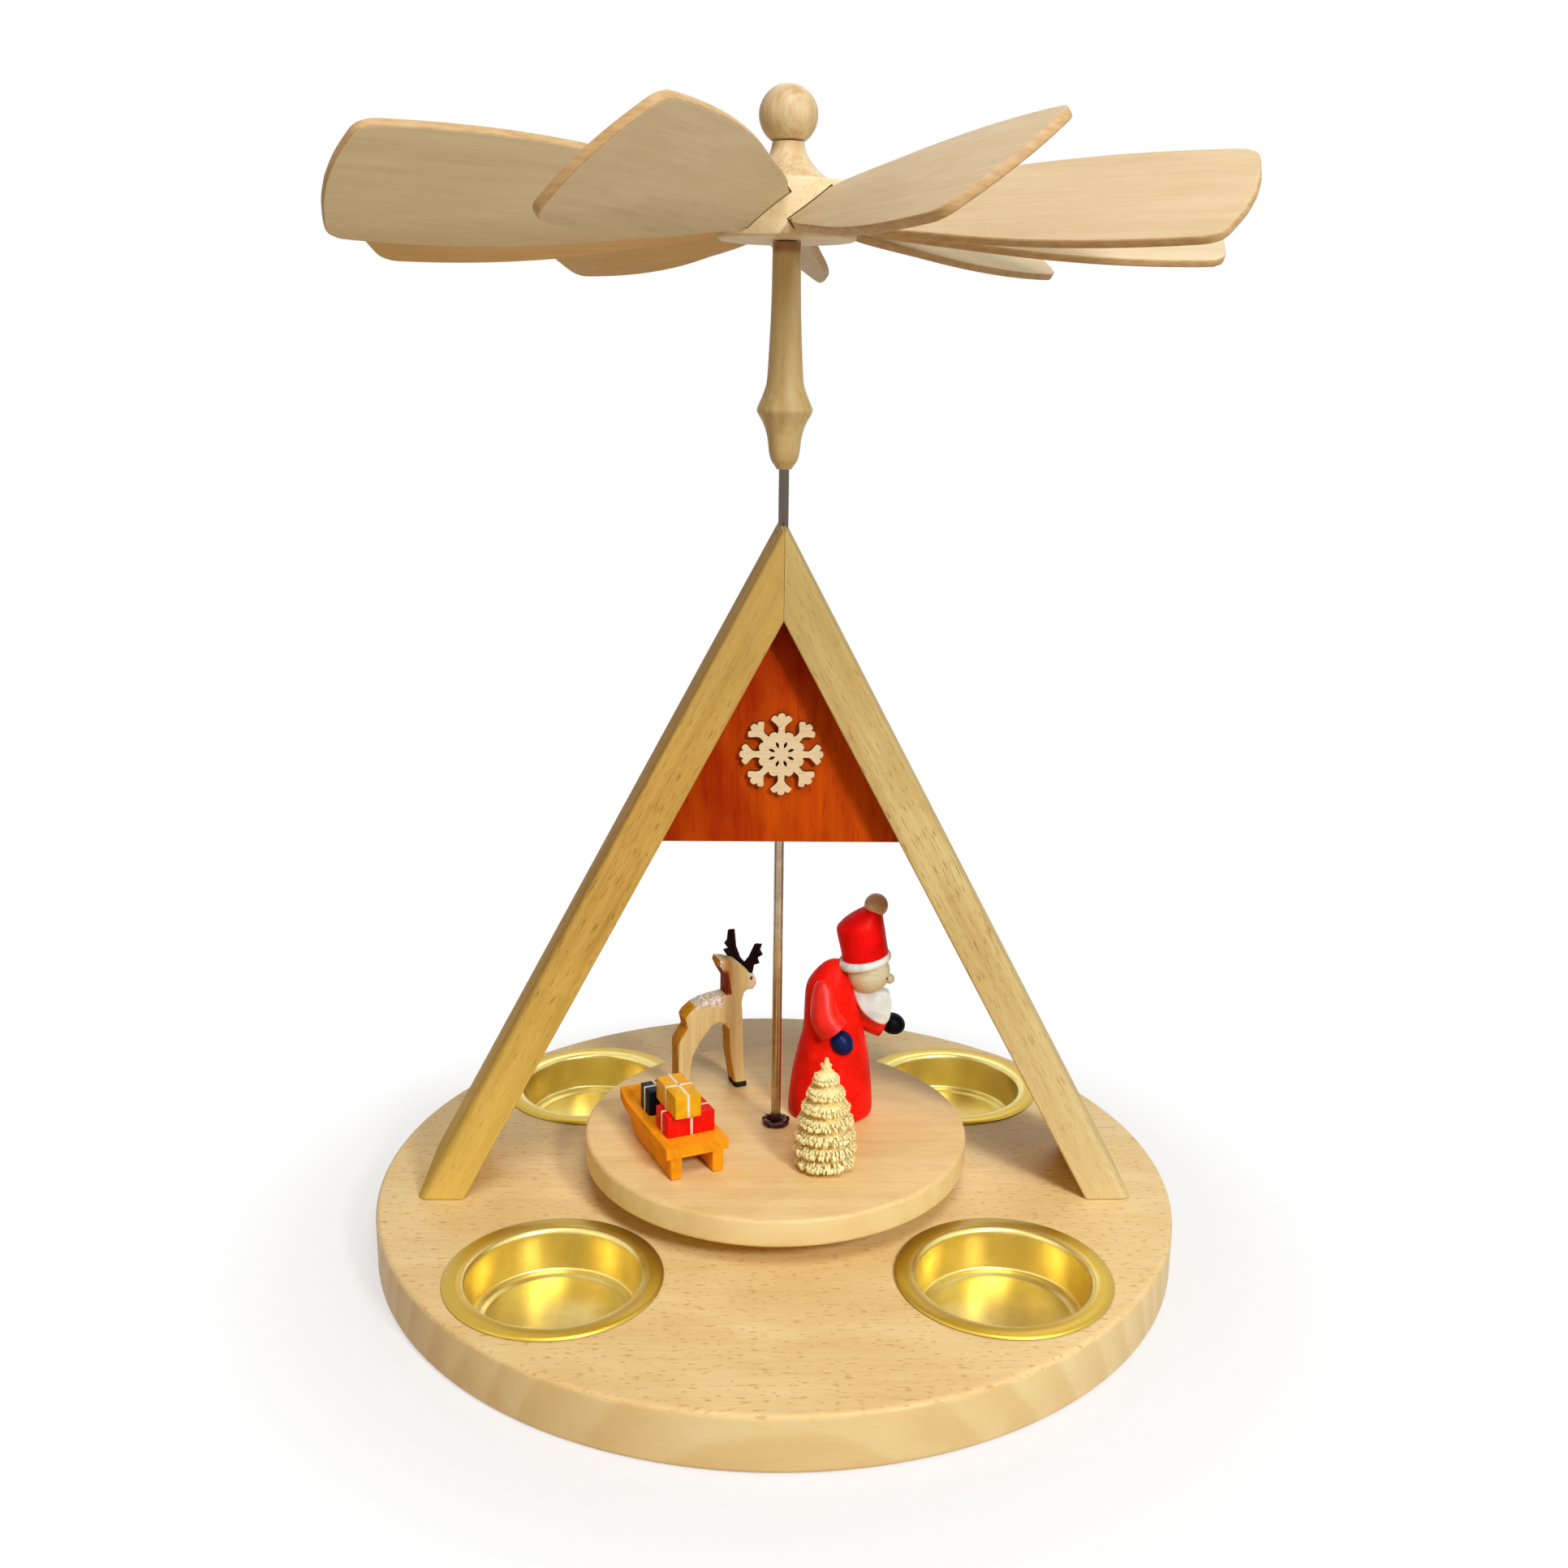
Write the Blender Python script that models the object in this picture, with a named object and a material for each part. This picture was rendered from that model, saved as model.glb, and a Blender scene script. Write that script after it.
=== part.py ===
"""Candle carousel: a turned wooden base with four tealight cups, a mitred A-frame with a
gable block, and a steel shaft that turns a disc of winter figures under a nine-blade wing wheel.

Metres, +Z up. The origin is the centre of the base's underside, on the shaft's axis, and the
snowflake side of the gable faces -Y.
"""
import math

import bmesh
import bpy
from mathutils import Matrix, Vector

# Clearance between neighbouring pieces, the overrun of a cut past the face it opens, the
# distance at which a turned piece's seam closes, and the bends that shade and round as edges
FIT = 0.0003
OVERRUN = 0.002
SEAM = 1e-7
SHARP_BEND = math.radians(35)
ROUNDED_BEND = math.radians(40)

# Base disc
BASE_RADIUS = 0.100
BASE_THICKNESS = 0.01365
BASE_ROUND = 0.0014
BASE_STEPS = 72

# Tealight cups, pressed from sheet; their flanges stay a margin inside the base's rim
CUP_RIM_MARGIN = 0.00357
CUP_BEARING = math.radians(44.38)
CUP_SHEET = 0.0005
CUP_DEPTH = 0.0109
CUP_FLOOR_RADIUS = 0.0192
CUP_MOUTH_RADIUS = 0.0205
CUP_FLANGE_RADIUS = 0.0248
CUP_FLOOR_FILLET = 0.0011
CUP_LIP_FILLET = 0.0010
CUP_EDGE_DROP = 0.0003
CUP_STEPS = 24

# Point bearing in the middle of the base
BEARING_RADIUS = 0.0040
BEARING_HEIGHT = 0.0050
BEARING_SINK = 0.0002
BEARING_MOUTH_RADIUS = 0.0026
BEARING_CONE_DEPTH = 0.0033
BEARING_POINT_RADIUS = 0.0004
BEARING_STEPS = 16

# A-frame legs, mitred at the top
LEG_THICKNESS = 0.0101
LEG_DEPTH = 0.0311
LEG_RIM_MARGIN = 0.01124
LEG_ANGLE = math.radians(61.84)
LEG_OUTER_ROUND = 0.0024
LEG_INNER_ROUND = 0.0007
LEG_RIDGE_FLAT = 0.0006

# Wood screws that hold the legs from beneath
SCREW_INNER_MARGIN = 0.0042
SCREW_FACE_MARGIN = 0.00755
SCREW_HEAD_RADIUS = 0.0030
SCREW_HEAD_HEIGHT = 0.0020
SCREW_SHANK_RADIUS = 0.0015
SCREW_BITE = 0.0090
SCREW_POINT = 0.0020
SCREW_RECESS_RADIUS = 0.0012
SCREW_RECESS_DEPTH = 0.0011
SCREW_SINK = 0.0006
SCREW_STEPS = 12

# Turntable
TURNTABLE_RADIUS = 0.0484
TURNTABLE_THICKNESS = 0.00706
TURNTABLE_RISE = 0.01315
TURNTABLE_ROUND = 0.0011
TURNTABLE_STEPS = 48
COLLAR_RADIUS = 0.0035
COLLAR_HEIGHT = 0.0012
COLLAR_ROUND = 0.0004

# Places that follow from the base, the legs and the turntable
BASE_TOP = BASE_THICKNESS
CUP_CIRCLE_RADIUS = BASE_RADIUS - CUP_RIM_MARGIN - CUP_FLANGE_RADIUS
CUP_OFFSET_X = CUP_CIRCLE_RADIUS * math.cos(CUP_BEARING)
CUP_OFFSET_Y = CUP_CIRCLE_RADIUS * math.sin(CUP_BEARING)
LEG_SLOPE = math.tan(LEG_ANGLE)
LEG_FOOT_Z = BASE_TOP + FIT
LEG_FOOT_OUTER_X = BASE_RADIUS - LEG_RIM_MARGIN
LEG_FOOT_INNER_X = LEG_FOOT_OUTER_X - LEG_THICKNESS / math.sin(LEG_ANGLE)
SCREW_X = LEG_FOOT_INNER_X + SCREW_INNER_MARGIN
SCREW_Y = LEG_DEPTH / 2 - SCREW_FACE_MARGIN
APEX_INNER_Z = LEG_FOOT_Z + LEG_FOOT_INNER_X * LEG_SLOPE
APEX_OUTER_Z = APEX_INNER_Z + LEG_THICKNESS / math.cos(LEG_ANGLE)
TURNTABLE_TOP_Z = BASE_TOP + TURNTABLE_RISE

# Gable block between the legs, with its snowflake: each arm is the same run of points, given as
# (share of the radius, degrees from the arm's middle)
FIGURE_ROOM = 0.0774
GABLE_BOTTOM_Z = TURNTABLE_TOP_Z + FIGURE_ROOM
GABLE_HEIGHT = APEX_INNER_Z - GABLE_BOTTOM_Z
GABLE_THICKNESS = 0.0150
GABLE_TIP_HALF_WIDTH = 0.0004
SNOWFLAKE_RISE_SHARE = 0.404
SNOWFLAKE_RADIUS_SHARE = 0.1827
SNOWFLAKE_Z = GABLE_BOTTOM_Z + GABLE_HEIGHT * SNOWFLAKE_RISE_SHARE
SNOWFLAKE_RADIUS = GABLE_HEIGHT * SNOWFLAKE_RADIUS_SHARE
SNOWFLAKE_THICKNESS = 0.0015
SNOWFLAKE_ARMS = 8
SNOWFLAKE_ARM_SHARES = (
    (0.53, -22.5), (0.56, -15.0), (0.50, -10.5), (0.60, -6.2), (0.68, -6.5), (0.79, -13.0),
    (0.89, -15.0), (0.95, -10.0), (0.94, -6.5), (1.00, -3.5),
    (1.00, 3.5), (0.94, 6.5), (0.95, 10.0), (0.89, 15.0),
    (0.79, 13.0), (0.68, 6.5), (0.60, 6.2), (0.50, 10.5), (0.56, 15.0),
)
PETAL_INNER_SHARE = 0.15
PETAL_OUTER_SHARE = 0.32
PETAL_HALF_WIDTH_SHARE = 0.045

# Steel shaft and the bushes that carry it
SHAFT_RADIUS = 0.0012
SHAFT_POINT_RADIUS = 0.00015
SHAFT_POINT_LENGTH = 0.0023
SHAFT_TOP_ROUND = 0.0004
SHAFT_STEPS = 14
SHAFT_INTO_SPINDLE = 0.0226
BUSH_WALL = 0.0008
APEX_BUSH_LENGTH = 0.0120
APEX_BUSH_DEPTH = 0.0030

# Spindle under the wing wheel: (height share, radius share of the bead)
SPINDLE_RISE = 0.0116
SPINDLE_LENGTH = 0.0498
SPINDLE_BOTTOM_Z = APEX_OUTER_Z + SPINDLE_RISE
SPINDLE_BEAD_RADIUS = 0.00637
SPINDLE_TENON_RADIUS = 0.0020
SPINDLE_TENON_LENGTH = 0.0090
SPINDLE_STEPS = 16
SPINDLE_SHARES = (
    (0.000, 0.270), (0.018, 0.360), (0.039, 0.470), (0.075, 0.550), (0.118, 0.590), (0.162, 0.650),
    (0.206, 0.770), (0.241, 0.920), (0.256, 0.985), (0.268, 1.000), (0.281, 0.975), (0.294, 0.930),
    (0.338, 0.785), (0.382, 0.675), (0.430, 0.635), (0.557, 0.580), (0.732, 0.525), (1.000, 0.495),
)

# Wing hub and its blades: (share of the reach, share of the widest half-width)
HUB_RADIUS = 0.0155
HUB_BOTTOM_Z = SPINDLE_BOTTOM_Z + SPINDLE_LENGTH
HUB_HEIGHT = 0.0120
HUB_ROUND = 0.0007
HUB_STEPS = 36
BLADE_COUNT = 9
BLADE_FIRST_ANGLE = math.radians(210.0)
BLADE_PITCH = math.radians(36.5)
BLADE_THICKNESS = 0.0020
BLADE_REACH = 0.1023
BLADE_HALF_WIDTH = 0.0160
BLADE_ROOT_HALF_WIDTH = 0.0060
BLADE_ROOT_DEPTH = 0.0046
BLADE_SHOULDER_STEP = 0.0003
BLADE_SHARES = (
    (0.20, 0.50), (0.28, 0.61), (0.37, 0.71), (0.47, 0.83), (0.57, 0.92), (0.68, 0.98),
    (0.80, 1.00), (0.925, 0.975), (0.956, 0.93), (0.974, 0.84), (0.985, 0.64), (0.996, 0.33),
)

# Finial: a flared foot and a ball on a pin
FINIAL_FOOT_RADIUS = 0.0089
FINIAL_NECK_RADIUS = 0.0035
FINIAL_BASE_HEIGHT = 0.0082
FINIAL_TENON_LENGTH = 0.0024
FINIAL_PIN_RADIUS = 0.0012
FINIAL_PIN_LENGTH = 0.0030
FINIAL_BALL_RADIUS = 0.0065
FINIAL_STEPS = 18
FINIAL_FLARE_SHARES = ((0.10, 0.98), (0.28, 0.62), (0.50, 0.32), (0.75, 0.09), (1.00, 0.00))

# Gift bringer: place on the turntable, then sizes from the feet up. Coat: (height share, lean
# share, radius share); arms: (forward, aside, height, radius), the height as a share of the
# coat's height and the rest as shares of its radius
GIVER_X = 0.0143
GIVER_Y = 0.0080
COAT_RADIUS = 0.0109
COAT_HEIGHT = 0.0415
COAT_DEPTH_SHARE = 0.94
COAT_STEPS = 20
COAT_SHARES = (
    (0.000, 0.000, 0.960), (0.015, 0.000, 1.000), (0.140, 0.005, 0.975), (0.253, 0.014, 0.931),
    (0.420, 0.030, 0.826), (0.554, 0.035, 0.710), (0.700, -0.020, 0.630), (0.830, -0.050, 0.560),
    (0.910, -0.010, 0.430), (0.970, 0.040, 0.260), (1.000, 0.060, 0.000),
)
HEAD_RADIUS = 0.0057
HEAD_FORWARD = 0.0089
HEAD_HEIGHT = 0.0382
HEAD_STEPS = 18
NOSE_RADIUS = 0.0009
NOSE_DROP = math.radians(37.0)
NOSE_SINK = 0.0003
NOSE_STEPS = 10
HAT_TILT = math.radians(-12.5)
HAT_SETBACK = 0.0002
BRIM_RADIUS = 0.0069
BRIM_HEIGHT = 0.0024
BRIM_RISE = 0.0021
BRIM_ROUND = 0.0008
HAT_RADIUS = 0.0063
HAT_HEIGHT = 0.0128
HAT_SHARES = ((0.00, 1.00), (0.35, 0.96), (0.66, 0.91), (0.77, 0.78), (0.89, 0.54), (0.97, 0.27))
BOBBLE_RADIUS = 0.0030
BOBBLE_FORWARD = 0.0057
BOBBLE_UP = 0.0121
BEARD_THICKNESS = 0.0046
BEARD_ROUND = 0.0009
BEARD_WIDTH = 0.0093
BEARD_HEIGHT = 0.0100
BEARD_FORWARD = 0.0055
BEARD_BOTTOM = 0.0248
BEARD_SHARES = (
    (0.02, 1.00), (0.07, 0.72), (0.20, 0.40), (0.44, 0.12), (0.72, 0.00), (0.86, 0.04),
    (1.00, 0.30), (0.97, 0.60), (0.86, 0.82), (0.66, 0.86),
)
NEAR_ARM_SHARES = ((-0.21, -0.40, 0.830, 0.27), (-0.18, -0.57, 0.680, 0.35),
                   (0.03, -0.62, 0.595, 0.38))
FAR_ARM_SHARES = ((0.32, 0.46, 0.735, 0.23), (1.06, 0.49, 0.467, 0.24), (1.34, 0.42, 0.482, 0.23))
ARM_STEPS = 12
MITTEN_RADIUS = 0.0028
FAR_MITTEN_RADIUS = 0.0026
MITTEN_LENGTH_SHARE = 1.20
MITTEN_STEPS = 12

# Reindeer, sliced from a turned ring: place, size and side profile
DEER_X = -0.0109
DEER_Y = 0.0232
DEER_TURN = math.radians(22.0)
DEER_HEIGHT = 0.0369
DEER_THICKNESS = 0.0058
DEER_ROUND = 0.0010
DEER_LEG_GAP = 0.0012
DEER_LEG_GAP_HEIGHT = 0.0135
DEER_SHARES = (
    (-0.455, 0.000), (-0.360, 0.000), (-0.352, 0.214), (-0.339, 0.285), (-0.282, 0.390),
    (-0.198, 0.491), (-0.150, 0.515), (-0.105, 0.500), (-0.068, 0.455), (-0.060, 0.266),
    (-0.015, 0.000), (0.081, 0.000), (0.065, 0.100), (0.051, 0.276), (0.046, 0.453),
    (0.041, 0.569), (0.035, 0.656), (0.054, 0.724), (0.076, 0.740), (0.122, 0.740),
    (0.149, 0.775), (0.144, 0.818), (0.125, 0.856), (0.087, 0.875), (0.070, 0.900),
    (0.005, 0.959), (-0.081, 0.992), (-0.138, 1.000), (-0.149, 0.967), (-0.122, 0.908),
    (-0.084, 0.843), (-0.084, 0.725), (-0.195, 0.710), (-0.257, 0.699), (-0.322, 0.672),
    (-0.379, 0.629), (-0.404, 0.593), (-0.388, 0.515), (-0.423, 0.461), (-0.455, 0.407),
)
ANTLER_BASE_SHARES = (0.079, 0.0, 0.875)
ANTLER_HEIGHT_SHARE = 0.322
ANTLER_THICKNESS = 0.0012
ANTLER_SPREAD = math.radians(65.0)
LEFT_ANTLER_SHARES = (
    (-0.12, -0.09), (0.065, -0.06), (-0.035, 0.16), (-0.16, 0.23), (-0.29, 0.46), (-0.34, 0.86),
    (-0.48, 0.82), (-0.51, 0.59), (-0.60, 0.48), (-0.48, 0.39), (-0.63, 0.32), (-0.46, 0.16),
    (-0.19, 0.05),
)
RIGHT_ANTLER_SHARES = (
    (0.095, -0.06), (0.22, -0.03), (0.26, 0.17), (0.42, 0.24), (0.37, 0.36), (0.52, 0.47),
    (0.44, 0.57), (0.50, 0.72), (0.33, 0.69), (0.28, 0.59), (0.16, 0.36), (-0.005, 0.16),
)

# Shaved tree
TREE_X = 0.0114
TREE_Y = -0.0230
TREE_HEIGHT = 0.0282
TREE_RADIUS = 0.0076
TREE_SHELF = 0.0013
TREE_TIP_RADIUS = 0.0008
TREE_STEPS = 20
TREE_TIER_SHARES = (0.96, 1.00, 0.97, 0.90, 0.78, 0.63, 0.45)
TREE_BULGE_SHARE = 0.35
TREE_NECK_SHARE = 0.95

# Sled, with its near left corner as its own origin, and its gifts: across, along, width,
# depth and height as shares of the sled's width
SLED_X = -0.0264
SLED_Y = -0.0310
SLED_TURN = math.radians(23.6)
SLED_WIDTH = 0.0160
SLED_LENGTH = 0.0330
SLED_SEAT_TOP = 0.0082
SLED_SEAT_THICKNESS = 0.0028
SLED_HORN_LENGTH = 0.0050
SLED_HORN_RISE = 0.0018
SLED_RUNNER_THICKNESS = 0.0029
SLED_RUNNER_INSET = 0.0012
SLED_RUNNER_LENGTH = 0.0290
SLED_RUNNER_SWEEP = 0.0036
SLED_ROUND = 0.0003
GIFT_ROUND = 0.0003
RED_GIFT_SHARES = (0.14, 0.31, 0.76, 0.50, 0.34)
YELLOW_GIFT_SHARES = (0.22, 0.19, 0.41, 0.82, 0.36)
BLUE_GIFT_SHARES = (0.15, 1.13, 0.40, 0.39, 0.40)

# Places that follow from the sizes above
CUP_TOP = BASE_TOP + FIT + CUP_SHEET / 2
BEARING_TOP = BASE_TOP - BEARING_SINK
SHAFT_TIP_Z = BEARING_TOP - BEARING_CONE_DEPTH + FIT
SHAFT_TOP_Z = SPINDLE_BOTTOM_Z + SHAFT_INTO_SPINDLE
BUSH_BORE = SHAFT_RADIUS + FIT
BUSH_RADIUS = BUSH_BORE + BUSH_WALL
HUB_TOP_Z = HUB_BOTTOM_Z + HUB_HEIGHT
HUB_MIDDLE_Z = HUB_BOTTOM_Z + HUB_HEIGHT / 2
BLADE_STEP_ANGLE = 2 * math.pi / BLADE_COUNT
BALL_SEAT_RADIUS = FINIAL_NECK_RADIUS + FIT
BALL_CENTRE_RISE = math.sqrt(FINIAL_BALL_RADIUS ** 2 - BALL_SEAT_RADIUS ** 2)
DECK = TURNTABLE_TOP_Z + FIT

# Looks: base colour, roughness and, for metals, how metallic
BEECH = ((0.78, 0.56, 0.31), 0.5)
LIGHT_WOOD = ((0.80, 0.62, 0.38), 0.5)
CHERRY = ((0.50, 0.08, 0.012), 0.45)
GOLD = ((0.75, 0.50, 0.12), 0.22, 1.0)
BRASS = ((0.70, 0.50, 0.20), 0.3, 1.0)
STEEL = ((0.45, 0.41, 0.36), 0.3, 1.0)
ZINC = ((0.60, 0.60, 0.58), 0.35, 1.0)
DARK_COLLAR = ((0.05, 0.012, 0.008), 0.3)
RED_PAINT = ((0.72, 0.015, 0.008), 0.35)
WHITE_PAINT = ((0.85, 0.84, 0.80), 0.45)
BLUE_PAINT = ((0.012, 0.025, 0.10), 0.35)
ORANGE_PAINT = ((0.85, 0.27, 0.02), 0.4)
YELLOW_PAINT = ((0.84, 0.46, 0.03), 0.4)
DEER_WOOD = ((0.62, 0.42, 0.20), 0.5)
ANTLER_DARK = ((0.02, 0.006, 0.005), 0.5)
SHAVING = ((0.84, 0.65, 0.38), 0.55)
CUTTER_GREY = ((0.5, 0.5, 0.5), 0.5)


def clear_scene():
    for item in list(bpy.data.objects):
        bpy.data.objects.remove(item, do_unlink=True)


def make_material(name, colour, roughness, metallic=0.0):
    material = bpy.data.materials.new(name)
    material.use_nodes = True
    shader = material.node_tree.nodes["Principled BSDF"]
    shader.inputs["Base Color"].default_value = (*colour, 1.0)
    shader.inputs["Roughness"].default_value = roughness
    shader.inputs["Metallic"].default_value = metallic
    return material


def make_object(name, bm, look, parent=None, location=(0, 0, 0), rotation=(0, 0, 0)):
    """Turns a bmesh into a named object with its own material."""
    bmesh.ops.recalc_face_normals(bm, faces=bm.faces)
    mesh = bpy.data.meshes.new(name)
    bm.to_mesh(mesh)
    bm.free()
    mesh.shade_smooth()
    mesh.set_sharp_from_angle(angle=SHARP_BEND)
    mesh.materials.append(make_material(name, *look))
    piece = bpy.data.objects.new(name, mesh)
    piece.location = location
    piece.rotation_euler = rotation
    piece.parent = parent
    bpy.context.scene.collection.objects.link(piece)
    return piece


def make_empty(name, location=(0, 0, 0), rotation=(0, 0, 0), parent=None):
    empty = bpy.data.objects.new(name, None)
    empty.location = location
    empty.rotation_euler = rotation
    empty.parent = parent
    bpy.context.scene.collection.objects.link(empty)
    return empty


def make_cutter(name, bm, parent=None, location=(0, 0, 0), rotation=(0, 0, 0)):
    cutter = make_object(name, bm, CUTTER_GREY, parent, location, rotation)
    cutter.hide_render = True
    cutter.display_type = 'WIRE'
    return cutter


def cut(piece, cutter):
    modifier = piece.modifiers.new("cut_" + cutter.name, 'BOOLEAN')
    modifier.operation = 'DIFFERENCE'
    modifier.solver = 'EXACT'
    modifier.object = cutter


def round_edges(piece, width, segments):
    modifier = piece.modifiers.new("round", 'BEVEL')
    modifier.width = width
    modifier.segments = segments
    modifier.limit_method = 'ANGLE'
    modifier.angle_limit = ROUNDED_BEND


def spin_profile(profile, steps):
    """A turned solid: (radius, height) points from bottom to top, or round a closed ring."""
    bm = bmesh.new()
    points = [bm.verts.new((radius, 0, height)) for radius, height in profile]
    edges = [bm.edges.new(pair) for pair in zip(points, points[1:])]
    if profile[0][0] > 0:
        edges.append(bm.edges.new((points[-1], points[0])))
    bmesh.ops.spin(bm, geom=points + edges, cent=(0, 0, 0), axis=(0, 0, 1),
                   angle=2 * math.pi, steps=steps, use_merge=True)
    bmesh.ops.remove_doubles(bm, verts=bm.verts, dist=SEAM)
    return bm


def rounded_corner(radius, height, size, side, segments=2):
    """Quarter-round corner of a disc; side is -1 for its lower edge and 1 for its upper one."""
    points = []
    for index in range(segments + 1):
        angle = math.pi / 2 * index / segments
        turn = angle if side > 0 else math.pi / 2 - angle
        points.append((radius - size + size * math.cos(turn),
                       height - side * (size - size * math.sin(turn))))
    return points


def disc_profile(radius, bottom, top, size, segments=2):
    return ([(0, bottom)] + rounded_corner(radius, bottom, size, -1, segments)
            + rounded_corner(radius, top, size, 1, segments) + [(0, top)])


def cylinder(radius, bottom, top, steps):
    return spin_profile([(0, bottom), (radius, bottom), (radius, top), (0, top)], steps)


def sphere_profile(radius, rings, height=0.0, length_share=1.0):
    points = []
    for index in range(rings + 1):
        angle = math.pi * index / rings - math.pi / 2
        reach = 0 if index in (0, rings) else radius * math.cos(angle)
        points.append((reach, height + length_share * radius * math.sin(angle)))
    return points


def sphere(radius, steps, height=0.0, length_share=1.0):
    return spin_profile(sphere_profile(radius, steps // 2, height, length_share), steps)


def extrude_outline(outline, low, high):
    """A plate: the outline's (x, z) points, extruded along Y from low to high."""
    bm = bmesh.new()
    face = bm.faces.new([bm.verts.new((x, low, z)) for x, z in outline])
    moved = bmesh.ops.extrude_face_region(bm, geom=[face])
    verts = [item for item in moved["geom"] if isinstance(item, bmesh.types.BMVert)]
    bmesh.ops.translate(bm, verts=verts, vec=(0, high - low, 0))
    return bm


def box(low, high):
    bm = bmesh.new()
    bmesh.ops.create_cube(bm, size=1.0)
    low = Vector(low)
    high = Vector(high)
    for vert in bm.verts:
        share = vert.co + Vector((0.5, 0.5, 0.5))
        vert.co = [a + (b - a) * s for a, b, s in zip(low, high, share)]
    return bm


def loft(rings):
    """A closed skin over a list of point rings; a ring of one point is a pole."""
    bm = bmesh.new()
    made = [[bm.verts.new(point) for point in ring] for ring in rings]
    for lower, upper in zip(made, made[1:]):
        count = max(len(lower), len(upper))
        for index in range(count):
            after = (index + 1) % count
            if len(upper) == 1:
                bm.faces.new((lower[index], lower[after], upper[0]))
            elif len(lower) == 1:
                bm.faces.new((lower[0], upper[after], upper[index]))
            else:
                bm.faces.new((lower[index], lower[after], upper[after], upper[index]))
    for ring in (made[0], made[-1]):
        if len(ring) > 1:
            bm.faces.new(ring)
    return bm


def limb(points, radii, steps):
    """A round tube through the points, with its own radius at each one."""
    points = [Vector(point) for point in points]
    rings = []
    for index, point in enumerate(points):
        before = points[max(index - 1, 0)]
        after = points[min(index + 1, len(points) - 1)]
        along = (after - before).normalized()
        across = along.cross(Vector((0, 1, 0))).normalized()
        other = along.cross(across)
        rings.append([point + radii[index] * (math.cos(turn) * across + math.sin(turn) * other)
                      for turn in (2 * math.pi * step / steps for step in range(steps))])
    return loft(rings)


def rounded_path(points, radii, cuts=3):
    """Adds points between the given ones, on arcs through them, so that a limb bends softly."""
    path = []
    sizes = []
    last = len(points) - 1
    for index in range(last):
        before = Vector(points[max(index - 1, 0)])
        start = Vector(points[index])
        end = Vector(points[index + 1])
        after = Vector(points[min(index + 2, last)])
        for step in range(cuts):
            t = step / cuts
            path.append(0.5 * (2 * start + (end - before) * t
                               + (2 * before - 5 * start + 4 * end - after) * t ** 2
                               + (3 * start - before - 3 * end + after) * t ** 3))
            sizes.append(radii[index] + (radii[index + 1] - radii[index]) * t)
    path.append(Vector(points[last]))
    sizes.append(radii[last])
    return path, sizes


def shaped(profile_shares, bottom, height, radius):
    return [(radius * wide, bottom + height * up) for up, wide in profile_shares]


def cup_midline():
    """Middle of the cup's sheet, from the axis out over the floor, up the wall and along the lip."""
    floor = CUP_TOP - CUP_DEPTH
    wall_top = CUP_TOP - CUP_LIP_FILLET
    points = [(0, floor)]
    for turn in (-math.pi / 2, -math.pi / 4, 0):
        points.append((CUP_FLOOR_RADIUS - CUP_FLOOR_FILLET * (1 - math.cos(turn)),
                       floor + CUP_FLOOR_FILLET * (1 + math.sin(turn))))
    for turn in (math.pi, 3 * math.pi / 4, math.pi / 2):
        points.append((CUP_MOUTH_RADIUS + CUP_LIP_FILLET * (1 + math.cos(turn)),
                       wall_top + CUP_LIP_FILLET * math.sin(turn)))
    points.append((CUP_FLANGE_RADIUS - CUP_SHEET, CUP_TOP))
    points.append((CUP_FLANGE_RADIUS, CUP_TOP - CUP_EDGE_DROP))
    return points


def offset_line(points, distance):
    """The line moved to its left by the distance, with its first point kept on the axis."""
    moved = []
    last = len(points) - 1
    for index, (x, z) in enumerate(points):
        before = points[max(index - 1, 0)]
        after = points[min(index + 1, last)]
        length = math.hypot(after[0] - before[0], after[1] - before[1])
        side_x = -(after[1] - before[1]) / length
        side_z = (after[0] - before[0]) / length
        moved.append((max(x + side_x * distance, 0), z + side_z * distance))
    return moved


def cup_places():
    for side_y, depth_name in ((-1, "front"), (1, "rear")):
        for side_x, side_name in ((-1, "left"), (1, "right")):
            yield f"{depth_name}_{side_name}", side_x * CUP_OFFSET_X, side_y * CUP_OFFSET_Y


def screw_places():
    for side_x, side_name in ((-1, "left"), (1, "right")):
        for side_y, depth_name in ((-1, "front"), (1, "rear")):
            yield f"{side_name}_{depth_name}", side_x * SCREW_X, side_y * SCREW_Y


def build_base():
    base = make_object("base_plate", spin_profile(
        disc_profile(BASE_RADIUS, 0, BASE_TOP, BASE_ROUND), BASE_STEPS), BEECH)
    pocket_radius = CUP_MOUTH_RADIUS + CUP_LIP_FILLET + CUP_SHEET + FIT
    pocket_floor = CUP_TOP - CUP_DEPTH - CUP_SHEET / 2 - FIT
    for place, x, y in cup_places():
        pocket = cylinder(pocket_radius, pocket_floor, BASE_TOP + OVERRUN, CUP_STEPS)
        cut(base, make_cutter("pocket_" + place, pocket, location=(x, y, 0)))
    seat = cylinder(BEARING_RADIUS + FIT, BEARING_TOP - BEARING_HEIGHT - FIT,
                    BASE_TOP + OVERRUN, BEARING_STEPS)
    cut(base, make_cutter("bearing_seat", seat))
    return base


def build_cups():
    middle = cup_midline()
    inner = offset_line(middle, CUP_SHEET / 2)
    outer = offset_line(middle, -CUP_SHEET / 2)
    for place, x, y in cup_places():
        bm = spin_profile(outer + inner[::-1], CUP_STEPS)
        make_object("tealight_cup_" + place, bm, GOLD, location=(x, y, 0))


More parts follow.
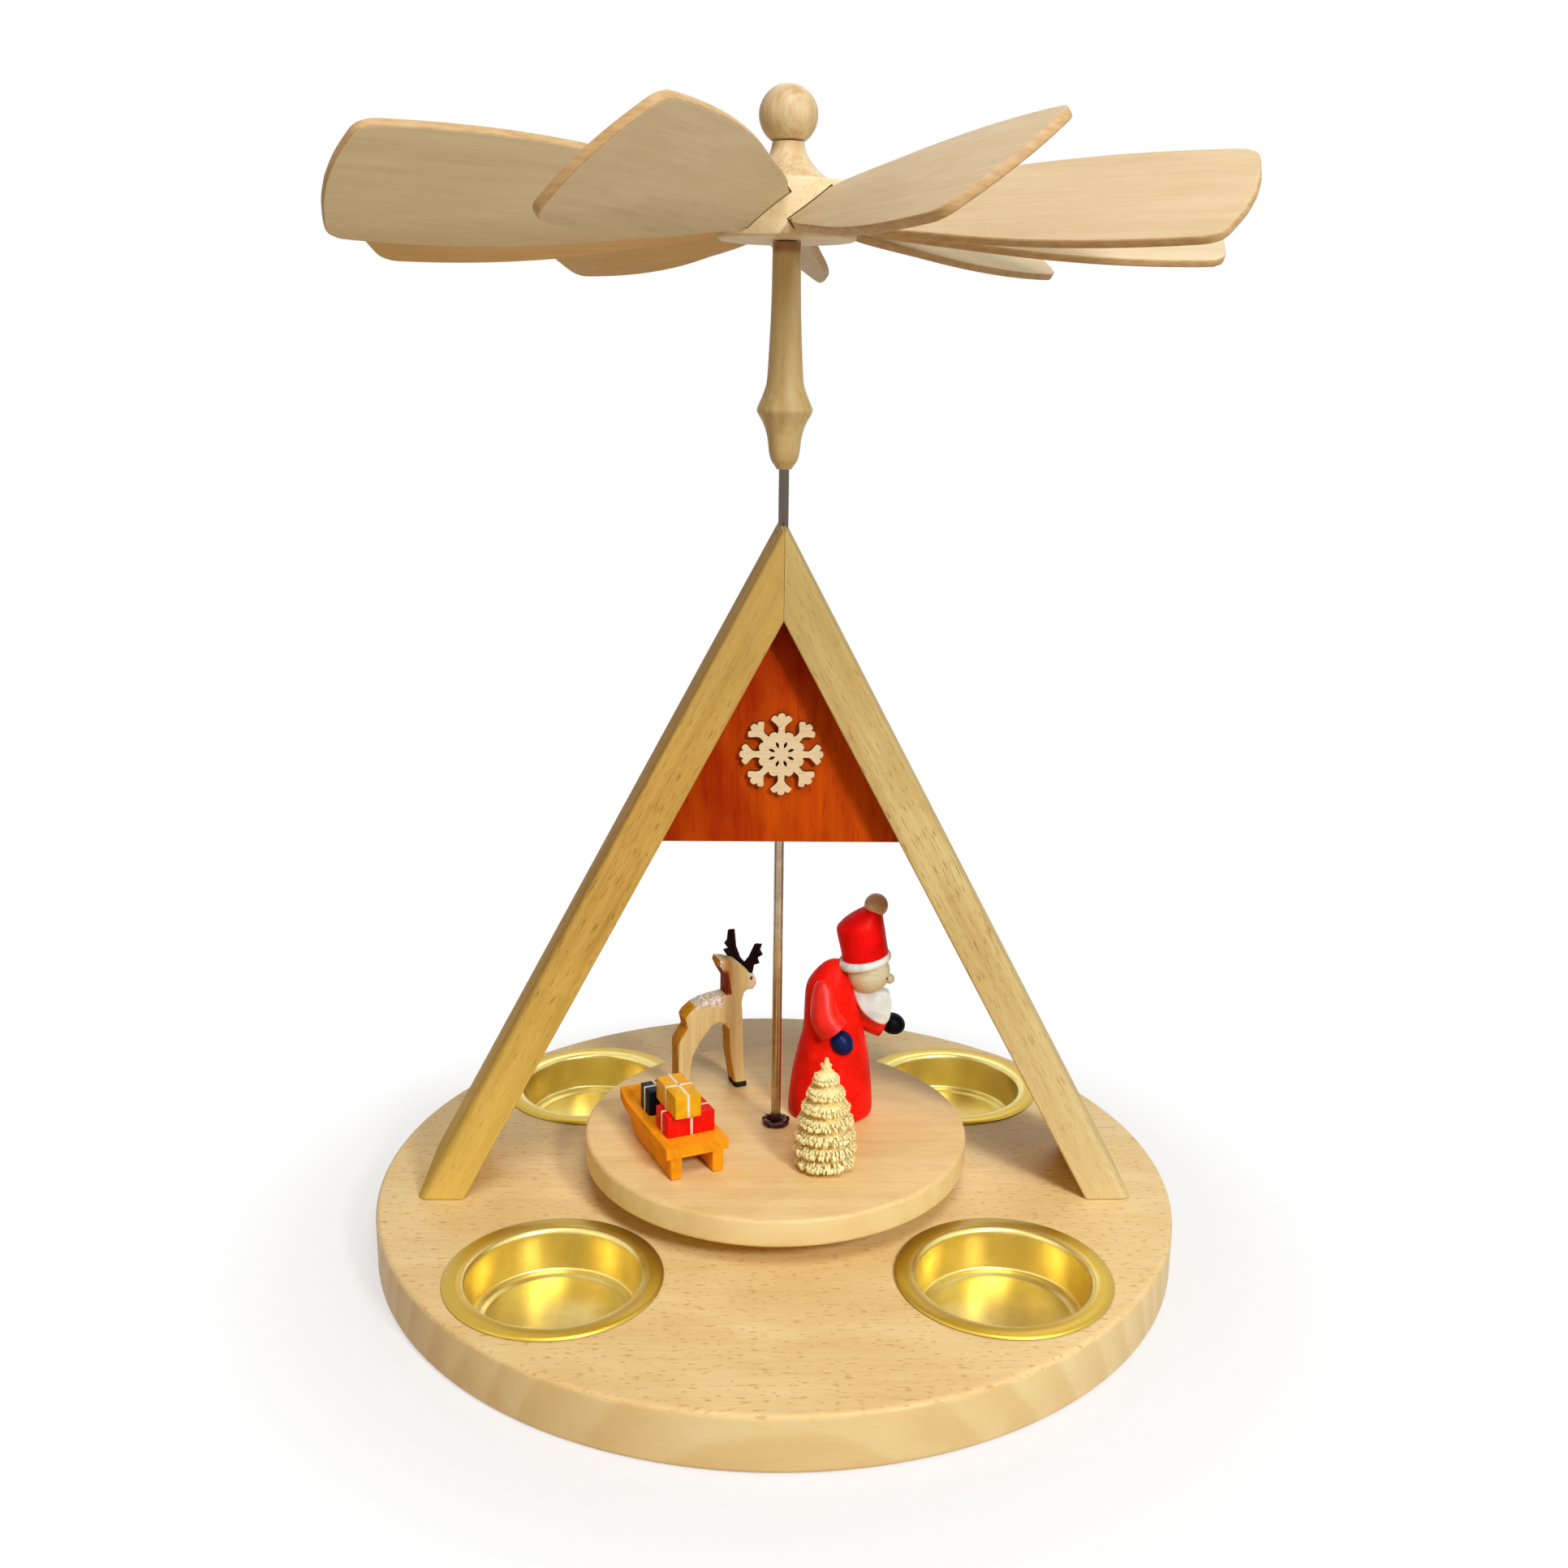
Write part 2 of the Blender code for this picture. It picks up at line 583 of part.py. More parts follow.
def build_bearing():
    bottom = BEARING_TOP - BEARING_HEIGHT
    profile = [(0, bottom), (BEARING_RADIUS, bottom), (BEARING_RADIUS, BEARING_TOP),
               (BEARING_MOUTH_RADIUS, BEARING_TOP),
               (BEARING_POINT_RADIUS, BEARING_TOP - BEARING_CONE_DEPTH),
               (0, BEARING_TOP - BEARING_CONE_DEPTH)]
    make_object("bearing_cup", spin_profile(profile, BEARING_STEPS), BRASS)


def leg_mesh():
    """Right-hand leg: foot cut flat on the base, mitre upright at X = 0, long edges rounded."""
    mitre = FIT / 2
    top_z = APEX_OUTER_Z - LEG_RIDGE_FLAT * LEG_SLOPE
    outline = [(LEG_FOOT_INNER_X, LEG_FOOT_Z), (LEG_FOOT_OUTER_X, LEG_FOOT_Z),
               (LEG_RIDGE_FLAT, top_z), (mitre, top_z),
               (mitre, APEX_INNER_Z - mitre * LEG_SLOPE)]
    bm = extrude_outline(outline, -LEG_DEPTH / 2, LEG_DEPTH / 2)
    for foot, size, segments in ((outline[1], LEG_OUTER_ROUND, 4),
                                 (outline[0], LEG_INNER_ROUND, 2)):
        edges = [edge for edge in bm.edges if is_long_edge(edge, foot)]
        bmesh.ops.bevel(bm, geom=edges, offset=size, segments=segments, profile=0.5,
                        affect='EDGES')
    return bm


def is_long_edge(edge, foot):
    """True for the edges that run up a leg from the given foot corner, at its front and back."""
    low = min(edge.verts, key=lambda vert: vert.co.z).co
    rise = abs(edge.verts[0].co.z - edge.verts[1].co.z)
    return rise > LEG_DEPTH and abs(low.x - foot[0]) < FIT and abs(low.z - foot[1]) < FIT


def shaft_bore_cutter(name):
    """Stepped bore for the apex bush and, above and below it, the free shaft."""
    bush_top = APEX_OUTER_Z - LEG_RIDGE_FLAT * LEG_SLOPE - APEX_BUSH_DEPTH
    bush_bottom = bush_top - APEX_BUSH_LENGTH
    free = SHAFT_RADIUS + 2 * FIT
    wide = BUSH_RADIUS + FIT
    profile = [(0, GABLE_BOTTOM_Z), (wide, GABLE_BOTTOM_Z), (wide, bush_top + FIT),
               (free, bush_top + FIT), (free, APEX_OUTER_Z + OVERRUN),
               (0, APEX_OUTER_Z + OVERRUN)]
    return make_cutter(name, spin_profile(profile, SHAFT_STEPS)), bush_bottom, bush_top


def build_frame():
    right = make_object("leg_right", leg_mesh(), BEECH)
    left_bm = leg_mesh()
    bmesh.ops.scale(left_bm, vec=(-1, 1, 1), verts=left_bm.verts)
    left = make_object("leg_left", left_bm, BEECH)
    bore, bush_bottom, bush_top = shaft_bore_cutter("apex_bore")
    for leg in (left, right):
        cut(leg, bore)
    bush = [(BUSH_BORE, bush_bottom), (BUSH_RADIUS, bush_bottom), (BUSH_RADIUS, bush_top),
            (BUSH_BORE, bush_top)]
    make_object("apex_bush", spin_profile(bush, SHAFT_STEPS), BRASS)
    build_gable()
    return left, right


def build_gable():
    gap = FIT / math.sin(LEG_ANGLE)
    foot_half_width = (APEX_INNER_Z - GABLE_BOTTOM_Z) / LEG_SLOPE - gap
    tip_z = APEX_INNER_Z - (GABLE_TIP_HALF_WIDTH + gap) * LEG_SLOPE
    outline = [(-foot_half_width, GABLE_BOTTOM_Z), (foot_half_width, GABLE_BOTTOM_Z),
               (GABLE_TIP_HALF_WIDTH, tip_z), (-GABLE_TIP_HALF_WIDTH, tip_z)]
    block = make_object("gable_block", extrude_outline(
        outline, -GABLE_THICKNESS / 2, GABLE_THICKNESS / 2), CHERRY)
    bore = cylinder(SHAFT_RADIUS + 2 * FIT, GABLE_BOTTOM_Z - OVERRUN, APEX_INNER_Z + OVERRUN,
                    SHAFT_STEPS)
    cut(block, make_cutter("gable_bore", bore))
    build_snowflake()


def build_snowflake():
    outline = []
    for arm in range(SNOWFLAKE_ARMS):
        for reach, degrees in SNOWFLAKE_ARM_SHARES:
            angle = math.radians(degrees) + 2 * math.pi * arm / SNOWFLAKE_ARMS
            outline.append((SNOWFLAKE_RADIUS * reach * math.sin(angle),
                            SNOWFLAKE_RADIUS * reach * math.cos(angle)))
    back = -GABLE_THICKNESS / 2 - FIT
    bm = extrude_outline(outline, back - SNOWFLAKE_THICKNESS, back)
    flake = make_object("snowflake", bm, LIGHT_WOOD, location=(0, 0, SNOWFLAKE_Z))
    for arm in range(SNOWFLAKE_ARMS):
        inner = SNOWFLAKE_RADIUS * PETAL_INNER_SHARE
        outer = SNOWFLAKE_RADIUS * PETAL_OUTER_SHARE
        half = SNOWFLAKE_RADIUS * PETAL_HALF_WIDTH_SHARE
        middle = (inner + outer) / 2
        petal = extrude_outline([(0, inner), (half, middle), (0, outer), (-half, middle)],
                                back - SNOWFLAKE_THICKNESS - OVERRUN, back + FIT)
        turn = 2 * math.pi * (arm + 0.5) / SNOWFLAKE_ARMS
        cut(flake, make_cutter(f"petal_{arm + 1}", petal, location=(0, 0, SNOWFLAKE_Z),
                               rotation=(0, turn, 0)))


def build_screws(base, left, right):
    head_z = SCREW_SINK
    tip_z = LEG_FOOT_Z + SCREW_BITE
    neck_z = head_z + SCREW_HEAD_HEIGHT
    profile = [(0, head_z + SCREW_RECESS_DEPTH), (SCREW_RECESS_RADIUS, head_z),
               (SCREW_HEAD_RADIUS, head_z), (SCREW_SHANK_RADIUS, neck_z),
               (SCREW_SHANK_RADIUS, tip_z - SCREW_POINT), (0, tip_z)]
    hole = [(0, -OVERRUN), (SCREW_HEAD_RADIUS + FIT, -OVERRUN),
            (SCREW_HEAD_RADIUS + FIT, head_z), (SCREW_SHANK_RADIUS + FIT, neck_z + FIT),
            (SCREW_SHANK_RADIUS + FIT, tip_z - SCREW_POINT), (0, tip_z + FIT)]
    for place, x, y in screw_places():
        make_object("leg_screw_" + place, spin_profile(profile, SCREW_STEPS), ZINC,
                    location=(x, y, 0))
        cutter = make_cutter("screw_hole_" + place, spin_profile(hole, SCREW_STEPS),
                             location=(x, y, 0))
        cut(base, cutter)
        cut(left if x < 0 else right, cutter)


def build_shaft(rotor):
    profile = [(0, SHAFT_TIP_Z), (SHAFT_POINT_RADIUS, SHAFT_TIP_Z),
               (SHAFT_RADIUS, SHAFT_TIP_Z + SHAFT_POINT_LENGTH),
               (SHAFT_RADIUS, SHAFT_TOP_Z - SHAFT_TOP_ROUND),
               (SHAFT_RADIUS - SHAFT_TOP_ROUND, SHAFT_TOP_Z), (0, SHAFT_TOP_Z)]
    make_object("shaft", spin_profile(profile, SHAFT_STEPS), STEEL, rotor)


def build_turntable(rotor):
    bottom = TURNTABLE_TOP_Z - TURNTABLE_THICKNESS
    disc = make_object("turntable", spin_profile(disc_profile(
        TURNTABLE_RADIUS, bottom, TURNTABLE_TOP_Z, TURNTABLE_ROUND), TURNTABLE_STEPS),
        BEECH, rotor)
    bore = cylinder(BUSH_RADIUS + FIT, bottom - OVERRUN, TURNTABLE_TOP_Z + OVERRUN,
                    SHAFT_STEPS)
    cut(disc, make_cutter("turntable_bore", bore, rotor))
    top = DECK + COLLAR_HEIGHT
    profile = [(BUSH_BORE, bottom), (BUSH_RADIUS, bottom), (BUSH_RADIUS, DECK),
               (COLLAR_RADIUS, DECK), (COLLAR_RADIUS, top - COLLAR_ROUND),
               (COLLAR_RADIUS - COLLAR_ROUND, top), (BUSH_RADIUS, top),
               (BUSH_BORE, top - COLLAR_ROUND)]
    make_object("turntable_bush", spin_profile(profile, SHAFT_STEPS), DARK_COLLAR, rotor)


def build_spindle(wheel):
    shoulder = HUB_BOTTOM_Z - FIT
    tenon_top = HUB_BOTTOM_Z + SPINDLE_TENON_LENGTH
    outside = shaped(SPINDLE_SHARES, SPINDLE_BOTTOM_Z, shoulder - SPINDLE_BOTTOM_Z,
                     SPINDLE_BEAD_RADIUS)
    bore = SHAFT_RADIUS + FIT
    bore_top = SHAFT_TOP_Z + FIT
    profile = ([(0, bore_top), (bore, bore_top), (bore, SPINDLE_BOTTOM_Z)] + outside
               + [(SPINDLE_TENON_RADIUS, shoulder), (SPINDLE_TENON_RADIUS, tenon_top),
                  (0, tenon_top)])
    make_object("spindle", spin_profile(profile, SPINDLE_STEPS), LIGHT_WOOD, wheel)


def build_hub(wheel):
    hub = make_object("wing_hub", spin_profile(disc_profile(
        HUB_RADIUS, HUB_BOTTOM_Z, HUB_TOP_Z, HUB_ROUND, 2), HUB_STEPS), LIGHT_WOOD, wheel)
    bore = cylinder(SPINDLE_TENON_RADIUS + FIT, HUB_BOTTOM_Z - OVERRUN, HUB_TOP_Z + OVERRUN,
                    SPINDLE_STEPS)
    cut(hub, make_cutter("hub_bore", bore, wheel))
    half_slot = BLADE_THICKNESS / 2 + FIT
    half_width = BLADE_ROOT_HALF_WIDTH + FIT
    inner = HUB_RADIUS - BLADE_ROOT_DEPTH - FIT
    for index, turn in blade_turns():
        slot = box((inner, -half_width, -half_slot),
                   (HUB_RADIUS + OVERRUN, half_width, half_slot))
        cut(hub, make_cutter(f"blade_slot_{index}", slot, wheel, (0, 0, HUB_MIDDLE_Z),
                             (BLADE_PITCH, 0, turn)))


def blade_turns():
    for index in range(BLADE_COUNT):
        yield index + 1, BLADE_FIRST_ANGLE + index * BLADE_STEP_ANGLE


def blade_mesh():
    """A blade lying flat: X outward, Y across, its root tongue at the hub end."""
    root = HUB_RADIUS - BLADE_ROOT_DEPTH
    shoulder = HUB_RADIUS + BLADE_SHOULDER_STEP
    edge = [(root, BLADE_ROOT_HALF_WIDTH), (shoulder, BLADE_ROOT_HALF_WIDTH)]
    edge += [(BLADE_REACH * out, BLADE_HALF_WIDTH * wide) for out, wide in BLADE_SHARES]
    outline = edge + [(BLADE_REACH, 0)] + [(x, -y) for x, y in reversed(edge)]
    bm = extrude_outline(outline, -BLADE_THICKNESS / 2, BLADE_THICKNESS / 2)
    bmesh.ops.rotate(bm, verts=bm.verts, cent=(0, 0, 0),
                     matrix=Matrix.Rotation(math.pi / 2, 3, 'X'))
    return bm


def build_blades(wheel):
    for index, turn in blade_turns():
        make_object(f"wing_{index}", blade_mesh(), LIGHT_WOOD, wheel, (0, 0, HUB_MIDDLE_Z),
                    (BLADE_PITCH, 0, turn))


def build_finial(wheel):
    foot = HUB_TOP_Z + FIT
    neck = foot + FINIAL_BASE_HEIGHT
    flare = FINIAL_FOOT_RADIUS - FINIAL_NECK_RADIUS
    tenon_bottom = foot - FINIAL_TENON_LENGTH
    profile = [(0, tenon_bottom), (SPINDLE_TENON_RADIUS, tenon_bottom),
               (SPINDLE_TENON_RADIUS, foot), (FINIAL_FOOT_RADIUS, foot)]
    profile += [(FINIAL_NECK_RADIUS + flare * wide, foot + FINIAL_BASE_HEIGHT * up)
                for up, wide in FINIAL_FLARE_SHARES]
    profile += [(FINIAL_PIN_RADIUS, neck), (FINIAL_PIN_RADIUS, neck + FINIAL_PIN_LENGTH),
                (0, neck + FINIAL_PIN_LENGTH)]
    make_object("finial_base", spin_profile(profile, FINIAL_STEPS), LIGHT_WOOD, wheel)
    seat = neck + FIT
    hole = FINIAL_PIN_RADIUS + FIT
    hole_top = neck + FINIAL_PIN_LENGTH + FIT
    start = math.acos(BALL_SEAT_RADIUS / FINIAL_BALL_RADIUS)
    rings = FINIAL_STEPS // 2
    ball = [(0, hole_top), (hole, hole_top), (hole, seat)]
    for index in range(rings):
        angle = -start + (math.pi / 2 + start) * index / rings
        ball.append((FINIAL_BALL_RADIUS * math.cos(angle),
                     seat + BALL_CENTRE_RISE + FINIAL_BALL_RADIUS * math.sin(angle)))
    ball.append((0, seat + BALL_CENTRE_RISE + FINIAL_BALL_RADIUS))
    make_object("finial_ball", spin_profile(ball, FINIAL_STEPS), LIGHT_WOOD, wheel)


def coat_mesh(grow=0.0):
    rings = []
    for up, lean, wide in COAT_SHARES:
        height = COAT_HEIGHT * up + (grow if up == 1 else 0)
        middle = COAT_RADIUS * lean
        if wide == 0:
            rings.append([(middle, 0, height)])
            continue
        reach = COAT_RADIUS * wide + grow
        turns = [2 * math.pi * step / COAT_STEPS for step in range(COAT_STEPS)]
        rings.append([(middle + reach * math.cos(turn),
                       COAT_DEPTH_SHARE * reach * math.sin(turn), height) for turn in turns])
    return loft(rings)


def build_giver(rotor):
    """Turned figure in coat and hat that looks towards +X; its parts are cut to fit each other."""
    figure = make_empty("giver", (GIVER_X, GIVER_Y, DECK), parent=rotor)
    head_centre = Vector((HEAD_FORWARD, 0, HEAD_HEIGHT))
    coat = make_object("giver_coat", coat_mesh(), RED_PAINT, figure)
    coat_room = make_cutter("coat_room", coat_mesh(FIT / COAT_DEPTH_SHARE), figure)
    head_room = make_cutter("head_room", sphere(HEAD_RADIUS + FIT, HEAD_STEPS), figure,
                            head_centre)
    cut(coat, head_room)
    make_object("giver_head", sphere(HEAD_RADIUS, HEAD_STEPS), LIGHT_WOOD, figure, head_centre)

    nose_reach = HEAD_RADIUS + NOSE_RADIUS - NOSE_SINK
    nose_place = head_centre + nose_reach * Vector((math.cos(NOSE_DROP), 0,
                                                    -math.sin(NOSE_DROP)))
    nose = make_object("giver_nose", sphere(NOSE_RADIUS, NOSE_STEPS), LIGHT_WOOD, figure,
                       nose_place)
    cut(nose, head_room)
    build_hat(figure, head_centre, head_room, coat)
    build_beard(figure, head_room)
    build_arms(figure, coat_room)


def build_hat(figure, head_centre, head_room, coat):
    place = head_centre + Vector((-HAT_SETBACK, 0, 0))
    tilt = (0, HAT_TILT, 0)
    above_brim = cylinder(BRIM_RADIUS + FIT, BRIM_RISE - FIT, BRIM_RISE + HAT_HEIGHT, HEAD_STEPS)
    cut(coat, make_cutter("brim_room", above_brim, figure, place, tilt))
    brim = [(0, BRIM_RISE)] + rounded_corner(BRIM_RADIUS, BRIM_RISE, BRIM_ROUND, -1, 2)
    brim += rounded_corner(BRIM_RADIUS, BRIM_RISE + BRIM_HEIGHT, BRIM_ROUND, 1, 2)
    brim.append((0, BRIM_RISE + BRIM_HEIGHT))
    cut(make_object("giver_hat_brim", spin_profile(brim, HEAD_STEPS), WHITE_PAINT, figure,
                    place, tilt), head_room)
    crown_bottom = BRIM_RISE + BRIM_HEIGHT + FIT
    crown = [(0, crown_bottom)] + shaped(HAT_SHARES, crown_bottom, HAT_HEIGHT, HAT_RADIUS)
    crown.append((0, crown_bottom + HAT_HEIGHT))
    cut(make_object("giver_hat", spin_profile(crown, HEAD_STEPS), RED_PAINT, figure, place,
                    tilt), head_room)
    room = [(0, crown_bottom)] + shaped(HAT_SHARES, crown_bottom, HAT_HEIGHT + FIT,
                                        HAT_RADIUS + FIT)
    room.append((0, crown_bottom + HAT_HEIGHT + FIT))
    hat_room = make_cutter("hat_room", spin_profile(room, HEAD_STEPS), figure, place, tilt)
    turn = Matrix.Rotation(HAT_TILT, 3, 'Y')
    bobble_place = place + turn @ Vector((BOBBLE_FORWARD, 0, crown_bottom + BOBBLE_UP))
    cut(make_object("giver_hat_bobble", sphere(BOBBLE_RADIUS, MITTEN_STEPS), LIGHT_WOOD,
                    figure, bobble_place), hat_room)


def build_beard(figure, head_room):
    outline = [(BEARD_FORWARD + BEARD_WIDTH * along, BEARD_BOTTOM + BEARD_HEIGHT * up)
               for along, up in BEARD_SHARES]
    bm = extrude_outline(outline, -BEARD_THICKNESS / 2, BEARD_THICKNESS / 2)
    rim = [edge for edge in bm.edges
           if abs(edge.verts[0].co.y - edge.verts[1].co.y) < BEARD_THICKNESS / 2]
    bmesh.ops.bevel(bm, geom=rim, offset=BEARD_ROUND, segments=2, affect='EDGES')
    cut(make_object("giver_beard", bm, WHITE_PAINT, figure), head_room)


def build_arms(figure, coat_room):
    arms = (("near", NEAR_ARM_SHARES, MITTEN_RADIUS), ("far", FAR_ARM_SHARES, FAR_MITTEN_RADIUS))
    for name, shares, mitten_radius in arms:
        points = [(COAT_RADIUS * forward, COAT_RADIUS * aside, COAT_HEIGHT * up)
                  for forward, aside, up, wide in shares]
        path, sizes = rounded_path(points, [COAT_RADIUS * row[3] for row in shares])
        sleeve = make_object(f"giver_sleeve_{name}", limb(path, sizes, ARM_STEPS), RED_PAINT,
                             figure)
        cut(sleeve, coat_room)
        along = (path[-1] - path[-2]).normalized()
        length = mitten_radius * MITTEN_LENGTH_SHARE
        mitten = make_object(f"giver_mitten_{name}", sphere(
            mitten_radius, MITTEN_STEPS, length_share=MITTEN_LENGTH_SHARE), BLUE_PAINT, figure,
            path[-1] + along * (length + FIT),
            along.to_track_quat('Z', 'Y').to_euler())
        cut(mitten, coat_room)


def build_deer(rotor):
    deer = make_empty("deer", (DEER_X, DEER_Y, DECK), (0, 0, DEER_TURN), rotor)
    outline = [(DEER_HEIGHT * along, DEER_HEIGHT * up) for along, up in DEER_SHARES]
    bm = extrude_outline(outline, -DEER_THICKNESS / 2, DEER_THICKNESS / 2)
    rim = [edge for edge in bm.edges
           if abs(edge.verts[0].co.y - edge.verts[1].co.y) < DEER_THICKNESS / 2
           and max(vert.co.z for vert in edge.verts) > FIT]
    bmesh.ops.bevel(bm, geom=rim, offset=DEER_ROUND, segments=2, affect='EDGES')
    body = make_object("reindeer_body", bm, DEER_WOOD, deer)
    reach = DEER_HEIGHT
    groove = box((-reach, -DEER_LEG_GAP / 2, -OVERRUN),
                 (reach, DEER_LEG_GAP / 2, DEER_LEG_GAP_HEIGHT))
    cut(body, make_cutter("deer_leg_groove", groove, deer))
    room_side = DEER_THICKNESS / 2 + FIT
    room = make_cutter("deer_room", extrude_outline(outline, -room_side, room_side), deer,
                       (0, 0, FIT))
    base = [DEER_HEIGHT * share for share in ANTLER_BASE_SHARES]
    height = DEER_HEIGHT * ANTLER_HEIGHT_SHARE
    for name, shares in (("left", LEFT_ANTLER_SHARES), ("right", RIGHT_ANTLER_SHARES)):
        antler_side = [(height * along, height * up) for along, up in shares]
        plate = extrude_outline(antler_side, -ANTLER_THICKNESS / 2, ANTLER_THICKNESS / 2)
        cut(make_object(f"reindeer_antler_{name}", plate, ANTLER_DARK, deer,
                        base, (0, 0, -ANTLER_SPREAD)), room)


def build_tree(rotor):
    """Tiers of curled shavings as one turned solid with a shelf under each tier."""
    count = len(TREE_TIER_SHARES)
    tier = TREE_HEIGHT / (count + 1)
    profile = [(0, 0)]
    for index, share in enumerate(TREE_TIER_SHARES):
        radius = TREE_RADIUS * share
        low = tier * index
        profile += [(radius - TREE_SHELF / 2, low), (radius, low + tier * TREE_BULGE_SHARE),
                    (radius - TREE_SHELF, low + tier * TREE_NECK_SHARE)]
    profile += [(TREE_TIP_RADIUS, TREE_HEIGHT), (0, TREE_HEIGHT)]
    make_object("shaved_tree", spin_profile(profile, TREE_STEPS), SHAVING, rotor,
                (TREE_X, TREE_Y, DECK))


def build_sled(rotor):
    sled = make_empty("sled", (SLED_X, SLED_Y, DECK), (0, 0, SLED_TURN), rotor)
    seat_bottom = SLED_SEAT_TOP - SLED_SEAT_THICKNESS
    flat = SLED_LENGTH - SLED_HORN_LENGTH
    seat_side = [(0, seat_bottom), (flat, seat_bottom), (SLED_LENGTH, seat_bottom + SLED_HORN_RISE),
                 (SLED_LENGTH, SLED_SEAT_TOP + SLED_HORN_RISE), (flat, SLED_SEAT_TOP),
                 (0, SLED_SEAT_TOP)]
    seat = make_object("sled_seat", extrude_outline(seat_side, -SLED_WIDTH, 0), ORANGE_PAINT,
                       sled, rotation=(0, 0, math.pi / 2))
    round_edges(seat, SLED_ROUND, 2)
    runner_top = seat_bottom - FIT
    runner_side = [(SLED_ROUND, 0), (SLED_RUNNER_LENGTH - SLED_RUNNER_SWEEP, 0),
                   (SLED_RUNNER_LENGTH, runner_top / 2), (SLED_RUNNER_LENGTH, runner_top),
                   (SLED_ROUND, runner_top)]
    for name, start in (("left", SLED_RUNNER_INSET),
                        ("right", SLED_WIDTH - SLED_RUNNER_INSET - SLED_RUNNER_THICKNESS)):
        bm = extrude_outline(runner_side, -start - SLED_RUNNER_THICKNESS, -start)
        runner = make_object(f"sled_runner_{name}", bm, ORANGE_PAINT, sled,
                             rotation=(0, 0, math.pi / 2))
        round_edges(runner, SLED_ROUND, 2)
    build_gifts(sled)


def build_gift(sled, name, shares, bottom, look):
    """A box on the sled; gives back the height of its top."""
    x, y, wide, deep, high = [SLED_WIDTH * share for share in shares]
    gift = make_object(name, box((x, y, bottom), (x + wide, y + deep, bottom + high)), look,
                       sled)
    round_edges(gift, GIFT_ROUND, 2)
    return bottom + high


def build_gifts(sled):
    stand = SLED_SEAT_TOP + FIT
    red_top = build_gift(sled, "gift_red", RED_GIFT_SHARES, stand, RED_PAINT)
    build_gift(sled, "gift_yellow", YELLOW_GIFT_SHARES, red_top + FIT, YELLOW_PAINT)
    build_gift(sled, "gift_blue", BLUE_GIFT_SHARES, stand, BLUE_PAINT)


def build():
    clear_scene()
    base = build_base()
    build_cups()
    build_bearing()
    left, right = build_frame()
    build_screws(base, left, right)
    rotor = make_empty("rotor")
    build_shaft(rotor)
    build_turntable(rotor)
    build_giver(rotor)
    build_deer(rotor)
    build_tree(rotor)
    build_sled(rotor)
    wheel = make_empty("wing_wheel", parent=rotor)
    build_spindle(wheel)
    build_hub(wheel)
    build_blades(wheel)
    build_finial(wheel)


build()
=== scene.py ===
"""Dresses the candle carousel's frame: turned and carved wood, pressed brass cups, painted
figures and a tree of curled shavings, under soft light from above.

Metres, +Z up, in the frame's own axes: the snowflake faces -Y.
"""

import math
import random

import bmesh
import bpy
from mathutils import Matrix, Vector


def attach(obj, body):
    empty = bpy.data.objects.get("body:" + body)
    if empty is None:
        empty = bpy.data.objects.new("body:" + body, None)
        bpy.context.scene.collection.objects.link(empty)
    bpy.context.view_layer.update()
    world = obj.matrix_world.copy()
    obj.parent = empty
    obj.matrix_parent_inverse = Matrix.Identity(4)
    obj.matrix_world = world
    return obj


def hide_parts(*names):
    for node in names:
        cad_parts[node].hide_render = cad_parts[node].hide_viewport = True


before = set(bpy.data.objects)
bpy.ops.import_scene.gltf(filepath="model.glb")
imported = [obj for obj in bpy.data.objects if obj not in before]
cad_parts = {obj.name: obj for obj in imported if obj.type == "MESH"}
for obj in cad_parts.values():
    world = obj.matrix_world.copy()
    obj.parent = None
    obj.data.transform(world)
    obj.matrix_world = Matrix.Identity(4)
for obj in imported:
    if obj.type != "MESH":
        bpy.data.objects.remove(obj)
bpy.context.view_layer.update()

FIT = 0.0003
IMAGE = 1932

# Base and cups
BASE_RADIUS = 0.1
BASE_TOP = 0.01365
POCKET_RADIUS = 0.0223
POCKET_FLOOR = 0.0027
BEARING_RADIUS = 0.0043
BEARING_FLOOR = 0.0082
SCREW_X = 0.0815
SCREW_Y = 0.008
CUP_X = 0.051197
CUP_Y = 0.050098
CUP_TOP = 0.0142
CUP_DEPTH = 0.0109
CUP_SHEET = 0.0005

# Frame
LEG_DEPTH = 0.0311
LEG_ANGLE = math.radians(61.84)
LEG_SLOPE = math.tan(LEG_ANGLE)
LEG_THICKNESS = 0.0101
LEG_FOOT_OUTER = 0.08876
LEG_FOOT_INNER = LEG_FOOT_OUTER - LEG_THICKNESS / math.sin(LEG_ANGLE)
LEG_FOOT_Z = BASE_TOP + FIT
APEX_INNER_Z = LEG_FOOT_Z + LEG_FOOT_INNER * LEG_SLOPE
APEX_OUTER_Z = APEX_INNER_Z + LEG_THICKNESS / math.cos(LEG_ANGLE)
APEX_FLAT = 0.0006
MITRE_GAP = 0.00004
GABLE_BOTTOM_Z = 0.1042
GABLE_DEPTH = 0.015
GABLE_TIP = 0.0004
SNOWFLAKE_Z = 0.12612
SNOWFLAKE_RADIUS = 0.0099
SNOWFLAKE_THICKNESS = 0.0016

